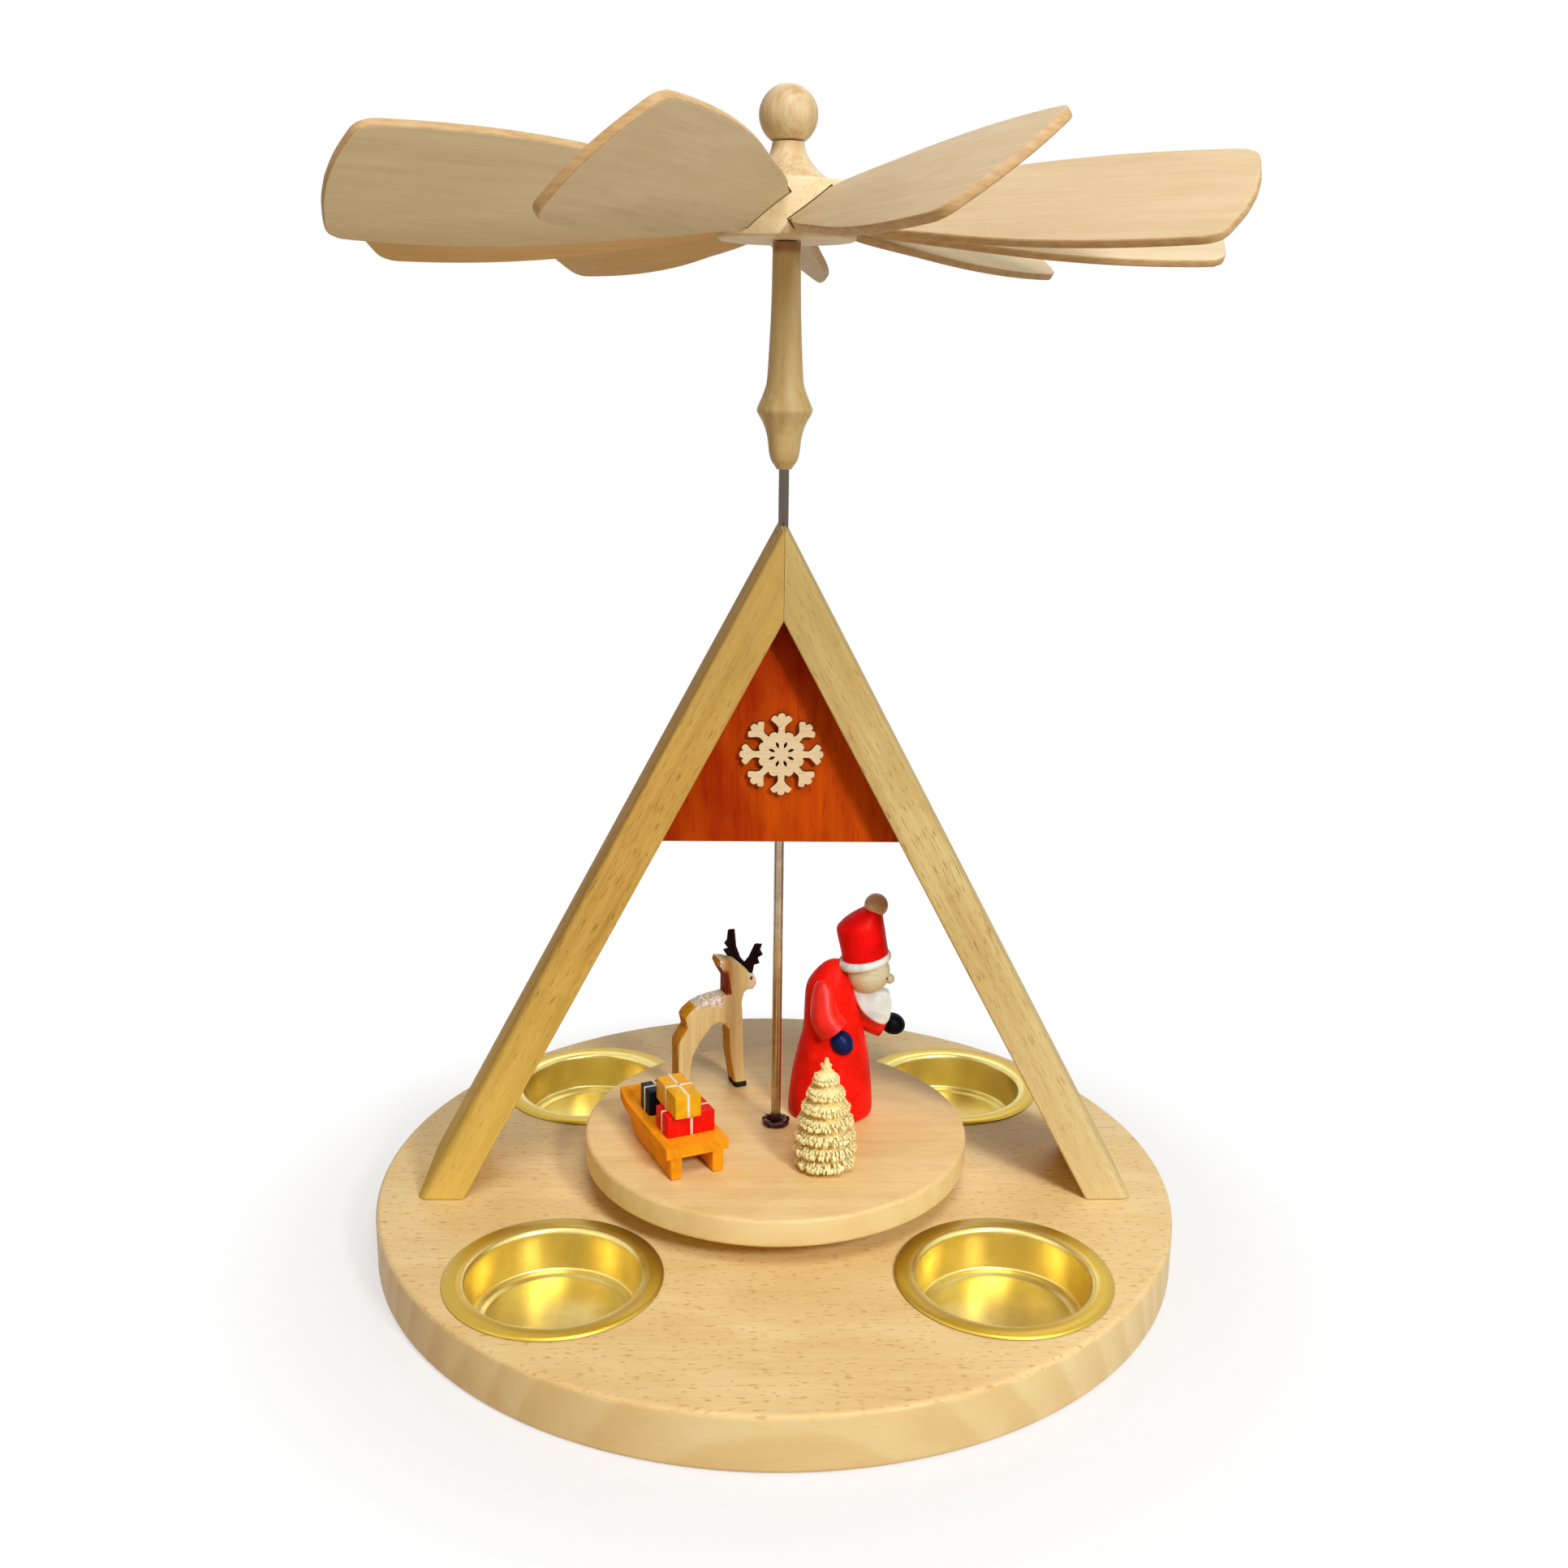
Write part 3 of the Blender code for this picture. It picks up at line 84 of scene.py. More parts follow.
# Shaft, turntable and wing wheel
SHAFT_RADIUS = 0.0012
SHAFT_BORE = 0.0018
SHAFT_TOP = 0.214
DISC_RADIUS = 0.0484
DISC_TOP = 0.0268
DISC_BOTTOM = 0.01974
DECK = DISC_TOP + FIT
SPINDLE_BOTTOM = 0.1914
SPINDLE_RADIUS = 0.00637
TENON_RADIUS = 0.002
HUB_RADIUS = 0.0155
HUB_BOTTOM = 0.2412
HUB_TOP = 0.2532
HUB_MIDDLE = (HUB_BOTTOM + HUB_TOP) / 2
BLADES = 9
BLADE_START = math.radians(210)
BLADE_PITCH = math.radians(36.5)
BLADE_REACH = 0.1023
BLADE_HALF_WIDTH = 0.016
BLADE_THICKNESS = 0.002
BALL_RADIUS = 0.00648

# Rotations that bring a piece's grain onto X
ALONG_X = (0, 0, 0)
ALONG_Y = (0, 0, math.pi / 2)
ALONG_Z = (0, math.pi / 2, 0)


def srgb(percent):
    """A linear colour from the three values a screen shows, in percent."""
    shares = [value / 100 for value in percent]
    return (*(((c + 0.055) / 1.055) ** 2.4 if c > 0.04045 else c / 12.92 for c in shares), 1.0)


def feed(tree, socket, value):
    if isinstance(value, bpy.types.NodeSocket):
        tree.links.new(value, socket)
    else:
        socket.default_value = value


def add_node(tree, kind, inputs=None, **settings):
    """A node whose inputs are given by name or number, as values or other nodes' sockets."""
    item = tree.nodes.new(kind)
    for name, value in settings.items():
        setattr(item, name, value)
    for name, value in (inputs or {}).items():
        feed(tree, item.inputs[name], value)
    return item


class Look:
    """A node material on object coordinates, built up by short calls."""

    def __init__(self, name, roughness=0.5, metallic=0.0, coat=0.0, shine=0.5):
        self.material = bpy.data.materials.new(name)
        self.material.use_nodes = True
        self.tree = self.material.node_tree
        self.shader = self.tree.nodes["Principled BSDF"]
        self.set("Roughness", roughness)
        self.set("Metallic", metallic)
        self.set("Coat Weight", coat)
        self.set("Coat Roughness", 0.2)
        self.set("Specular IOR Level", shine)
        self.place = self.node("ShaderNodeTexCoord").outputs["Object"]

    def set(self, name, value):
        feed(self.tree, self.shader.inputs[name], value)

    def source(self, name):
        return self.shader.inputs[name].links[0].from_socket

    def node(self, kind, inputs=None, **settings):
        return add_node(self.tree, kind, inputs, **settings)

    def mapped(self, vector, scale=(1, 1, 1), rotation=(0, 0, 0), location=(0, 0, 0)):
        item = self.node("ShaderNodeMapping", {"Vector": vector, "Scale": scale,
                                               "Rotation": rotation, "Location": location})
        return item.outputs["Vector"]

    def noise(self, vector, scale, detail=2.0, rough=0.5, warp=0.0):
        """Noise stretched by the scale's three numbers."""
        item = self.node("ShaderNodeTexNoise", {
            "Vector": self.mapped(vector, scale), "Scale": 1.0, "Detail": detail,
            "Roughness": rough, "Distortion": warp})
        return item.outputs["Fac"]

    def remap(self, value, low, high, new_low=0.0, new_high=1.0):
        """A soft step between low and high, which may be in falling order."""
        item = self.node("ShaderNodeMapRange", {
            "Value": value, "From Min": low, "From Max": high, "To Min": new_low,
            "To Max": new_high}, interpolation_type='SMOOTHSTEP')
        return item.outputs["Result"]

    def maths(self, operation, first, second=0.0):
        item = self.node("ShaderNodeMath", {0: first, 1: second}, operation=operation)
        return item.outputs["Value"]

    def times(self, total, *others):
        for other in others:
            total = self.maths('MULTIPLY', total, other)
        return total

    def plus(self, total, *others):
        for other in others:
            total = self.maths('ADD', total, other)
        return total

    def ramps(self, *limits):
        """The product of soft steps, each given as a value and its two ends."""
        return self.times(*[self.remap(*limit) for limit in limits])

    def mix(self, factor, first, second):
        item = self.node("ShaderNodeMix", {"Factor": factor, "A": first, "B": second},
                         data_type='RGBA')
        return item.outputs["Result"]

    def cover(self, mask, colour):
        """Lays a colour over the base colour where the mask is above zero."""
        self.set("Base Color", self.mix(mask, self.source("Base Color"), srgb(colour)))

    def speckle(self, scale, detail, first, second, ends=None):
        """Colours the base by noise between two colours, and hands the noise back."""
        patches = self.noise(self.place, scale, detail)
        mask = self.remap(patches, *ends) if ends else patches
        self.set("Base Color", self.mix(mask, srgb(first), srgb(second)))
        return patches

    def axes(self, vector=None):
        item = self.node("ShaderNodeSeparateXYZ", {"Vector": vector or self.place})
        return item.outputs["X"], item.outputs["Y"], item.outputs["Z"]

    def across(self):
        """The distance from the Z axis."""
        x, y = self.axes()[:2]
        return self.maths('SQRT', self.plus(self.times(x, x), self.times(y, y)))

    def bump(self, height, strength, distance):
        item = self.node("ShaderNodeBump", {"Height": height, "Strength": strength,
                                            "Distance": distance})
        self.set("Normal", item.outputs["Normal"])


def wood(name, light, dark, fleck, turn=ALONG_X, flecks=0.4, fleck_size=(3, 0.7), fleck_share=0.62,
         soft=0.09, rings=0.0, ring_step=0.0045, ring_lean=0.3, ring_top=None,
         mottle=0.3, streaks=0.3, roughness=0.45, shine=0.3, seed=0.0):
    """Fine-grained wood: growth layers, fibres and short dark flecks along the grain.

    A fleck's length and width are in millimetres, the steps of the layers in metres.
    """
    look = Look(name, roughness, shine=shine)
    grain = look.mapped(look.place, rotation=turn)
    moved = look.mapped(grain, location=(seed, seed, seed))
    cloud = look.noise(moved, (25, 60, 60), 3.0, 0.6, 0.5)
    fibre = look.noise(moved, (90, 1600, 1600), 4.0, 0.6)
    streak = look.noise(moved, (12, 420, 420), 3.0, 0.55, 0.3)
    tone = look.plus(look.times(look.remap(cloud, 0.32, 0.68), mottle),
                     look.times(look.remap(streak, 0.35, 0.7), streaks),
                     look.times(look.remap(fibre, 0.3, 0.7), 0.18))
    if rings:
        across, up = look.axes(grain)[1:]
        wander = look.noise(grain, (4, 45, 10))
        layer = look.plus(across, look.times(up, ring_lean), look.times(wander, ring_step * 1.6))
        part = look.maths('FRACT', look.maths('DIVIDE', layer, ring_step))
        edge = look.ramps((part, 0.0, 0.8), (part, 1.0, 0.8))
        if ring_top:
            below = look.remap(look.axes()[2], ring_top, ring_top - 0.0008)
            edge = look.times(edge, below)
        tone = look.plus(tone, look.times(edge, rings))
    length, width = fleck_size
    dash = look.noise(moved, (1000 / length, 1000 / width, 1000 / width), 1.0, 0.4)
    mask = look.remap(dash, fleck_share, fleck_share + soft, 0.0, flecks)
    if ring_top:
        mask = look.times(mask, look.maths('SUBTRACT', 1.0, look.times(below, 0.7)))
    look.set("Base Color", look.mix(tone, srgb(light), srgb(dark)))
    look.cover(mask, fleck)
    look.set("Roughness", look.remap(fibre, 0.3, 0.7, roughness - 0.06, roughness + 0.08))
    look.bump(look.maths('SUBTRACT', fibre, look.times(mask, 0.8)), 0.10, 0.0002)
    return look


def paint(name, colour, worn, roughness=0.42, shine=0.12, wear=0.35):
    """Brushed paint on carved wood, a little thin where the brush ran dry."""
    look = Look(name, roughness, shine=shine)
    strokes = look.noise(look.place, (900, 900, 160), 4.0, 0.6, 0.4)
    patches = look.noise(look.place, (170, 170, 120), 3.0, 0.6, 0.8)
    dry = look.ramps((strokes, 0.5, 0.75), (patches, 0.45, 0.7))
    full = srgb(colour)
    deep = (*(c * 0.75 for c in full[:3]), 1.0)
    look.set("Base Color", look.mix(look.remap(patches, 0.3, 0.6), deep, full))
    look.cover(look.times(dry, wear), worn)
    look.set("Roughness", look.remap(strokes, 0.3, 0.7, roughness - 0.06, roughness + 0.14))
    look.bump(strokes, 0.25, 0.00015)
    return look


def metal(name, colour, tint, roughness, streaks=None, lines_deep=0.12):
    """Metal with lines turned around Z, or with streaks of the scale given."""
    look = Look(name, roughness, 1.0)
    if streaks:
        lines = look.noise(look.place, streaks, 3.0)
    else:
        turned = look.node("ShaderNodeCombineXYZ", {"X": look.across(), "Y": look.axes()[2]})
        lines = look.noise(turned.outputs["Vector"], (7000, 7000, 1))
    smudge = look.noise(look.place, (90, 90, 90), 3.0, 0.6)
    look.set("Base Color", look.mix(look.remap(smudge, 0.3, 0.7), srgb(colour), srgb(tint)))
    look.set("Roughness", look.plus(look.times(smudge, 0.10), look.times(lines, 0.06),
                                    roughness - 0.08))
    look.bump(lines, lines_deep, 0.00004)
    return look


def smooth_line(points, cuts=4, closed=False):
    """A soft line through the points, given as tuples of any size."""
    count = len(points)
    made = []
    for index in range(count if closed else count - 1):
        places = range(index - 1, index + 3)
        if closed:
            four = [points[place % count] for place in places]
        else:
            four = [points[min(max(place, 0), count - 1)] for place in places]
        for cut in range(cuts):
            t = cut / cuts
            made.append(tuple(0.5 * (2 * b + (c - a) * t + (2 * a - 5 * b + 4 * c - d) * t * t
                                     + (3 * b - a - 3 * c + d) * t ** 3)
                              for a, b, c, d in zip(*four)))
    if not closed:
        made.append(tuple(points[-1]))
    return made


def arc(x, z, radius, start, end, steps=6):
    """Points of an arc, its angles in degrees."""
    turns = [math.radians(start + (end - start) * step / steps) for step in range(steps + 1)]
    return [(x + radius * math.cos(turn), z + radius * math.sin(turn)) for turn in turns]


def around(steps):
    """The angles of a circle's steps."""
    return [2 * math.pi * step / steps for step in range(steps)]


def spin(profile, steps):
    """A turned shape from its profile's (radius, height) points."""
    bm = bmesh.new()
    points = [bm.verts.new((radius, 0, height)) for radius, height in profile]
    edges = [bm.edges.new(pair) for pair in zip(points, points[1:])]
    if profile[0][0] > 0:
        edges.append(bm.edges.new((points[-1], points[0])))
    bmesh.ops.spin(bm, geom=points + edges, cent=(0, 0, 0), axis=(0, 0, 1),
                   angle=2 * math.pi, steps=steps, use_merge=True)
    bmesh.ops.remove_doubles(bm, verts=bm.verts, dist=1e-7)
    return bm


def disc(radius, bottom, top, size):
    """The profile of a disc with rounded edges."""
    return ([(0, bottom)] + arc(radius - size, bottom + size, size, -90, 0)
            + arc(radius - size, top - size, size, 0, 90) + [(0, top)])


def bore(radius, bottom, top, steps=32):
    return spin([(0, bottom), (radius, bottom), (radius, top), (0, top)], steps)


def plate(outline, low, high, rim=0.0, segments=3, keep=lambda edge: True):
    """The outline's (x, z) points extruded along Y, with the edges of both faces rounded."""
    bm = bmesh.new()
    face = bm.faces.new([bm.verts.new((x, low, z)) for x, z in outline])
    moved = bmesh.ops.extrude_face_region(bm, geom=[face])
    verts = [item for item in moved["geom"] if isinstance(item, bmesh.types.BMVert)]
    bmesh.ops.translate(bm, verts=verts, vec=(0, high - low, 0))
    bmesh.ops.recalc_face_normals(bm, faces=bm.faces)
    if rim:
        edges = [edge for edge in bm.edges
                 if abs(edge.verts[0].co.y - edge.verts[1].co.y) < 1e-6
                 and len(edge.link_faces) == 2
                 and edge.calc_face_angle(0) > 0.5 and keep(edge)]
        bevel(bm, edges, rim, segments, clamp_overlap=True)
    return bm


def bevel(bm, edges, size, segments=3, **settings):
    bmesh.ops.bevel(bm, geom=edges, offset=size, segments=segments, profile=0.5,
                    affect='EDGES', **settings)


def block(low, high, size=0.0003, segments=3):
    """A box with rounded edges."""
    bm = bmesh.new()
    bmesh.ops.create_cube(bm, size=1.0)
    for vert in bm.verts:
        vert.co = [a + (b - a) * (s + 0.5) for a, b, s in zip(low, high, vert.co)]
    bevel(bm, bm.edges[:], size, segments)
    return bm


def skin(rings, bm=None):
    """A closed skin over rings of points; a ring of one point is a pole."""
    bm = bmesh.new() if bm is None else bm
    made = [[bm.verts.new(point) for point in ring] for ring in rings]
    for lower, upper in zip(made, made[1:]):
        count = max(len(lower), len(upper))
        for index in range(count):
            after = (index + 1) % count
            if len(upper) == 1:
                bm.faces.new((lower[index], lower[after], upper[0]))
            elif len(lower) == 1:
                bm.faces.new((lower[0], upper[after], upper[index]))
            else:
                bm.faces.new((lower[index], lower[after], upper[after], upper[index]))
    for ring in (made[0], made[-1]):
        if len(ring) > 1:
            bm.faces.new(ring)
    return bm


def ball(radii, steps, rings):
    """An ellipsoid about the origin."""
    wide, deep, high = radii
    rises = [math.pi * ring / rings - math.pi / 2 for ring in range(1, rings)]
    made = [[(wide * math.cos(rise) * math.cos(turn), deep * math.cos(rise) * math.sin(turn),
              high * math.sin(rise)) for turn in around(steps)] for rise in rises]
    return skin([[(0, 0, -high)], *made, [(0, 0, high)]])


def new_object(name, bm):
    mesh = bpy.data.meshes.new(name)
    bm.to_mesh(mesh)
    bm.free()
    item = bpy.data.objects.new(name, mesh)
    bpy.context.scene.collection.objects.link(item)
    return item


def add_piece(name, bm, looks, node, matrix=Matrix(), body="rotor", sharp=40):
    """A piece that rides on a body and, where one is named, replaces a node."""
    bmesh.ops.recalc_face_normals(bm, faces=bm.faces)
    piece = new_object(name, bm)
    piece.data.shade_smooth()
    piece.data.set_sharp_from_angle(angle=math.radians(sharp))
    for look in looks:
        piece.data.materials.append(look.material)
    piece.matrix_world = matrix
    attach(piece, body)
    if node:
        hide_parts(node)
    return piece


def carve(piece, *cutters):
    """Cuts pairs of a bmesh and its matrix out of the piece, and keeps its materials."""
    made = []
    for bm, matrix in cutters:
        bmesh.ops.recalc_face_normals(bm, faces=bm.faces)
        cutter = new_object("cutter", bm)
        cutter.matrix_world = matrix
        modifier = piece.modifiers.new("cut", 'BOOLEAN')
        modifier.operation = 'DIFFERENCE'
        modifier.solver = 'EXACT'
        modifier.object = cutter
        made.append(cutter)
    bpy.context.view_layer.update()
    graph = bpy.context.evaluated_depsgraph_get()
    mesh = bpy.data.meshes.new_from_object(piece.evaluated_get(graph))
    piece.modifiers.clear()
    piece.data = mesh
    for cutter in made:
        bpy.data.objects.remove(cutter)
    mesh.set_sharp_from_angle(angle=math.radians(35))


def placed(x, y, z, turn=0.0):
    return Matrix.Translation((x, y, z)) @ Matrix.Rotation(turn, 4, 'Z')


# Colours in percent, each wood as its light, dark and flecked parts
BEECH = (96, 86, 64), (86, 70, 42), (76, 54, 27)
PALE_FLECK = (66, 48, 27)


def cup_places():
    for side_y, depth in ((-1, "front"), (1, "rear")):
        for side_x, side in ((-1, "left"), (1, "right")):
            yield f"{depth}_{side}", side_x * CUP_X, side_y * CUP_Y


def paint_light_on_side(look, top):
    """The turned side is painted a little paler than the face: painted light on the side."""
    look.cover(look.remap(look.axes()[2], top - 0.0004, top - 0.0014, 0, 0.5), (93, 87, 67))


def build_base():
    base_wood = wood("base_wood", *BEECH, flecks=0.55, fleck_size=(2.4, 0.8), fleck_share=0.595,
                     soft=0.14, rings=0.65, ring_step=0.007, ring_top=BASE_TOP - 0.0004,
                     mottle=0.35, streaks=0.12, roughness=0.38)
    # Painted light: the base's turned side is painted paler than its top.
    paint_light_on_side(base_wood, BASE_TOP)
    base = add_piece("base_disc", spin(disc(BASE_RADIUS, 0, BASE_TOP, 0.0014), 192),
                     [base_wood], "base_plate", body="stand")
    above = 0.02
    pockets = [(bore(POCKET_RADIUS, POCKET_FLOOR, above, 64), placed(x, y, 0))
               for name, x, y in cup_places()]
    seat = bore(BEARING_RADIUS, BEARING_FLOOR, above, 48), Matrix()
    screw = [(0, -0.001), (0.0033, -0.001), (0.0033, 0.0006), (0.0018, 0.0029), (0.0018, above),
             (0, above)]
    holes = [(spin(screw, 24), placed(x, y, 0))
             for x in (-SCREW_X, SCREW_X) for y in (-SCREW_Y, SCREW_Y)]
    carve(base, *pockets, seat, *holes)


def slope(line, index):
    """The direction of a flat line at one of its points."""
    before, after = line[max(index - 1, 0)], line[min(index + 1, len(line) - 1)]
    length = math.dist(before, after)
    return (after[0] - before[0]) / length, (after[1] - before[1]) / length


def offset(points, distance):
    """A profile moved sideways, but not across the axis."""
    moved = []
    for index, (x, z) in enumerate(points):
        run, rise = slope(points, index)
        moved.append((max(x - rise * distance, 0), z + run * distance))
    return moved


def build_cups():
    gold = metal("cup_gold", (91, 85, 56), (85, 77, 45), 0.31, lines_deep=0.03)
    gold.set("Coat Weight", 0.3)
    gold.set("Coat Roughness", 0.15)
    # Painted shade: the flange is painted darker than the bowl; its extra roughness is the metal's
    # own.
    rim = gold.remap(gold.across(), 0.0208, 0.0222)
    gold.cover(rim, (76, 64, 22))
    gold.set("Roughness", gold.plus(gold.source("Roughness"), gold.times(rim, 0.12)))
    floor = CUP_TOP - CUP_DEPTH
    inside = [(0, floor), (0.016, floor), (0.0166, floor + 0.0001), (0.0171, floor + 0.0005),
              (0.0176, floor + 0.0006), *arc(0.0182, floor + 0.0016, 0.001, -90, -4),
              (0.0198, CUP_TOP - 0.0024), *arc(0.0212, CUP_TOP - 0.0013, 0.0012, 176, 96, 7),
              (0.0222, CUP_TOP), (0.0243, CUP_TOP + 0.0001), (0.02465, CUP_TOP - 0.0001),
              (0.0248, CUP_TOP - 0.0004)]
    half = CUP_SHEET / 2
    profile = offset(inside, -half)[:-1] + offset(inside, half)[::-1]
    for name, x, y in cup_places():
        add_piece(f"cup_{name}", spin(profile, 96), [gold], f"tealight_cup_{name}",
                  placed(x, y, 0), f"cup_{name}", sharp=60)


def rises_from(edge, foot):
    low = min(edge.verts, key=lambda vert: vert.co.z).co
    rise = abs(edge.verts[0].co.z - edge.verts[1].co.z)
    return rise > LEG_DEPTH and abs(low.x - foot[0]) < FIT and abs(low.z - foot[1]) < FIT


def build_legs():
    outline = [(LEG_FOOT_INNER, LEG_FOOT_Z), (LEG_FOOT_OUTER, LEG_FOOT_Z),
               (APEX_FLAT, APEX_OUTER_Z - APEX_FLAT * LEG_SLOPE),
               (MITRE_GAP, APEX_OUTER_Z - APEX_FLAT * LEG_SLOPE),
               (MITRE_GAP, APEX_INNER_Z - MITRE_GAP * LEG_SLOPE)]
    # The left leg is painted darker and more orange than the right: painted shade on the left leg,
    # painted light on the right.
    for name, side, light, dark, low in (
            ("right", 1, (88, 81, 59), (76, 65, 41), (91, 83, 63)),
            ("left", -1, (86, 72, 40), (72, 56, 27), (95, 83, 42))):
        look = wood(f"leg_wood_{name}", light, dark, (56, 36, 15), (0, -side * LEG_ANGLE, 0),
                    flecks=0.7, fleck_size=(4.2, 0.28), fleck_share=0.6, soft=0.1, mottle=0.4,
                    streaks=0.5, roughness=0.55, shine=0.02, seed=side * 0.3)
        height = look.axes()[2]
        # Painted light: the lower leg is painted paler.
        look.cover(look.remap(height, 0.09, 0.02, 0, 0.5), low)
        # Painted shade: the leg is painted darker towards the apex.
        look.cover(look.remap(height, 0.11, 0.17, 0, 0.6), (75, 65, 40))
        bm = plate(outline, -LEG_DEPTH / 2, LEG_DEPTH / 2)
        for foot, size, segments in ((outline[1], 0.0024, 8), (outline[0], 0.0006, 4)):
            bevel(bm, [edge for edge in bm.edges if rises_from(edge, foot)], size, segments)
        bmesh.ops.scale(bm, vec=(side, 1, 1), verts=bm.verts)
        leg = add_piece(f"frame_leg_{name}", bm, [look], f"leg_{name}", body="stand")
        carve(leg, (bore(SHAFT_BORE, 0.1, 0.19), Matrix()))


def build_gable():
    stained = wood("gable_wood", (81, 34, 4), (64, 17, 2), (40, 8, 1), ALONG_Z, flecks=0.25,
                   fleck_size=(5, 0.8), mottle=0.75, streaks=0.25, roughness=0.5, shine=0.04,
                   seed=0.7)
    # Painted shade: the panel is painted darker towards its tip, where the legs shade it.
    painted_shade_top = stained.remap(stained.axes()[2], 0.132, 0.15)
    stained.cover(stained.times(painted_shade_top, 0.4), (58, 10, 2))
    gap = FIT / math.sin(LEG_ANGLE)
    foot = (APEX_INNER_Z - GABLE_BOTTOM_Z) / LEG_SLOPE - gap
    tip = APEX_INNER_Z - (GABLE_TIP + gap) * LEG_SLOPE
    bm = plate([(-foot, GABLE_BOTTOM_Z), (foot, GABLE_BOTTOM_Z), (GABLE_TIP, tip),
                (-GABLE_TIP, tip)], -GABLE_DEPTH / 2, GABLE_DEPTH / 2)
    bevel(bm, [edge for edge in bm.edges if edge.calc_length() > 0.002], 0.00025, 2)
    gable = add_piece("gable_panel", bm, [stained], "gable_block", body="stand")
    carve(gable, (bore(SHAFT_BORE, 0.1, 0.17), Matrix()))
    build_snowflake()


def build_snowflake():
    half = [(0.565, 22.5), (0.562, 18.0), (0.545, 14.2), (0.515, 11.4), (0.53, 9.2),
            (0.6, 7.2), (0.66, 6.8), (0.72, 9.0), (0.79, 13.0), (0.855, 16.3), (0.895, 16.2),
            (0.93, 13.6), (0.952, 10.8), (0.95, 8.4), (0.915, 6.9), (0.912, 5.8),
            (0.962, 4.8), (0.99, 2.8), (1.0, 0.0)]
    arm = [(reach, -degrees) for reach, degrees in half] + half[-2:0:-1]
    outline = []
    for turn in range(8):
        for reach, degrees in arm:
            angle = math.radians(degrees) + math.pi / 4 * turn
            outline.append((SNOWFLAKE_RADIUS * reach * math.sin(angle),
                            SNOWFLAKE_Z + SNOWFLAKE_RADIUS * reach * math.cos(angle)))
    back = -GABLE_DEPTH / 2 - 0.00005
    front = back - SNOWFLAKE_THICKNESS
    pale = wood("flake_wood", (91, 84, 70), (83, 72, 54), (74, 60, 40), flecks=0.3, roughness=0.6)
    burnt = Look("flake_burnt_edge", 0.7)
    burnt.speckle((900, 900, 900), 3.0, (16, 6, 2), (42, 22, 8), (0.3, 0.7))
    flake = add_piece("snowflake_cut", plate(outline, front, back), [pale, burnt], "snowflake",
                      body="stand", sharp=30)
    petal = [(0, 0.16), (0.022, 0.195), (0.036, 0.24), (0.026, 0.285), (0, 0.325),
             (-0.026, 0.285), (-0.036, 0.24), (-0.022, 0.195)]
    petal = [(SNOWFLAKE_RADIUS * x, SNOWFLAKE_RADIUS * z) for x, z in smooth_line(petal, 3, True)]
    middle = placed(0, 0, SNOWFLAKE_Z)
    carve(flake, *[(plate(petal, front - 0.001, back + 0.001),
                    middle @ Matrix.Rotation(math.pi / 4 * (turn + 0.5), 4, 'Y'))
                   for turn in range(8)])
    for face in flake.data.polygons:
        face.material_index = 0 if abs(face.normal.y) > 0.7 else 1


def build_shaft():
    steel = metal("shaft_steel", (78, 73, 64), (63, 56, 46), 0.28, (2500, 2500, 60))
    # Painted shade: the shaft is painted darker above the apex.
    steel.cover(steel.remap(steel.axes()[2], 0.166, 0.172), (40, 36, 32))
    profile = [(0, 0.01045), (0.00015, 0.01045), (SHAFT_RADIUS, 0.01275),
               (SHAFT_RADIUS, SHAFT_TOP - 0.0004), (0.0008, SHAFT_TOP), (0, SHAFT_TOP)]
    add_piece("steel_shaft", spin(profile, 32), [steel], "shaft")
    gloss = Look("collar_gloss", 0.16, coat=0.6, shine=0.06)
    smear = gloss.speckle((700, 700, 700), 2.0, (14, 5, 3.5), (34, 12, 8))
    gloss.bump(smear, 0.1, 0.0001)
    ring = [(0.0015, DISC_BOTTOM), (0.0023, DISC_BOTTOM), (0.0023, DECK), (0.0034, DECK),
            *arc(0.0028, DECK + 0.0006, 0.0007, -40, 160, 10), (0.0019, DECK + 0.0007),
            (0.0015, DECK + 0.0002)]
    bm = spin(ring, 96)
    for vert in bm.verts:
        turn = math.atan2(vert.co.y, vert.co.x)
        swell = 0.05 * math.sin(5 * turn + 0.6) + 0.04 * math.sin(11 * turn)
        if vert.co.z > DECK + FIT:
            vert.co.z += (vert.co.z - DECK) * swell * 2
        if vert.co.z > DECK:
            vert.co.xy *= 1 + swell * 0.4
    add_piece("shaft_collar", bm, [gloss], "turntable_bush")


def build_turntable():
    disc_wood = wood("disc_wood", *BEECH, flecks=0.15, rings=0.25, ring_step=0.006,
                     ring_top=DISC_TOP - 0.0004, mottle=0.45, streaks=0.2, roughness=0.42,
                     seed=1.7)
    # Painted light: the turntable's turned side is painted paler than its top.
    paint_light_on_side(disc_wood, DISC_TOP)
    profile = disc(DISC_RADIUS, DISC_BOTTOM, DISC_TOP, 0.0011)
    table = add_piece("turning_disc", spin(profile, 144), [disc_wood], "turntable")
    carve(table, (bore(0.0026, 0.015, 0.03), Matrix()))


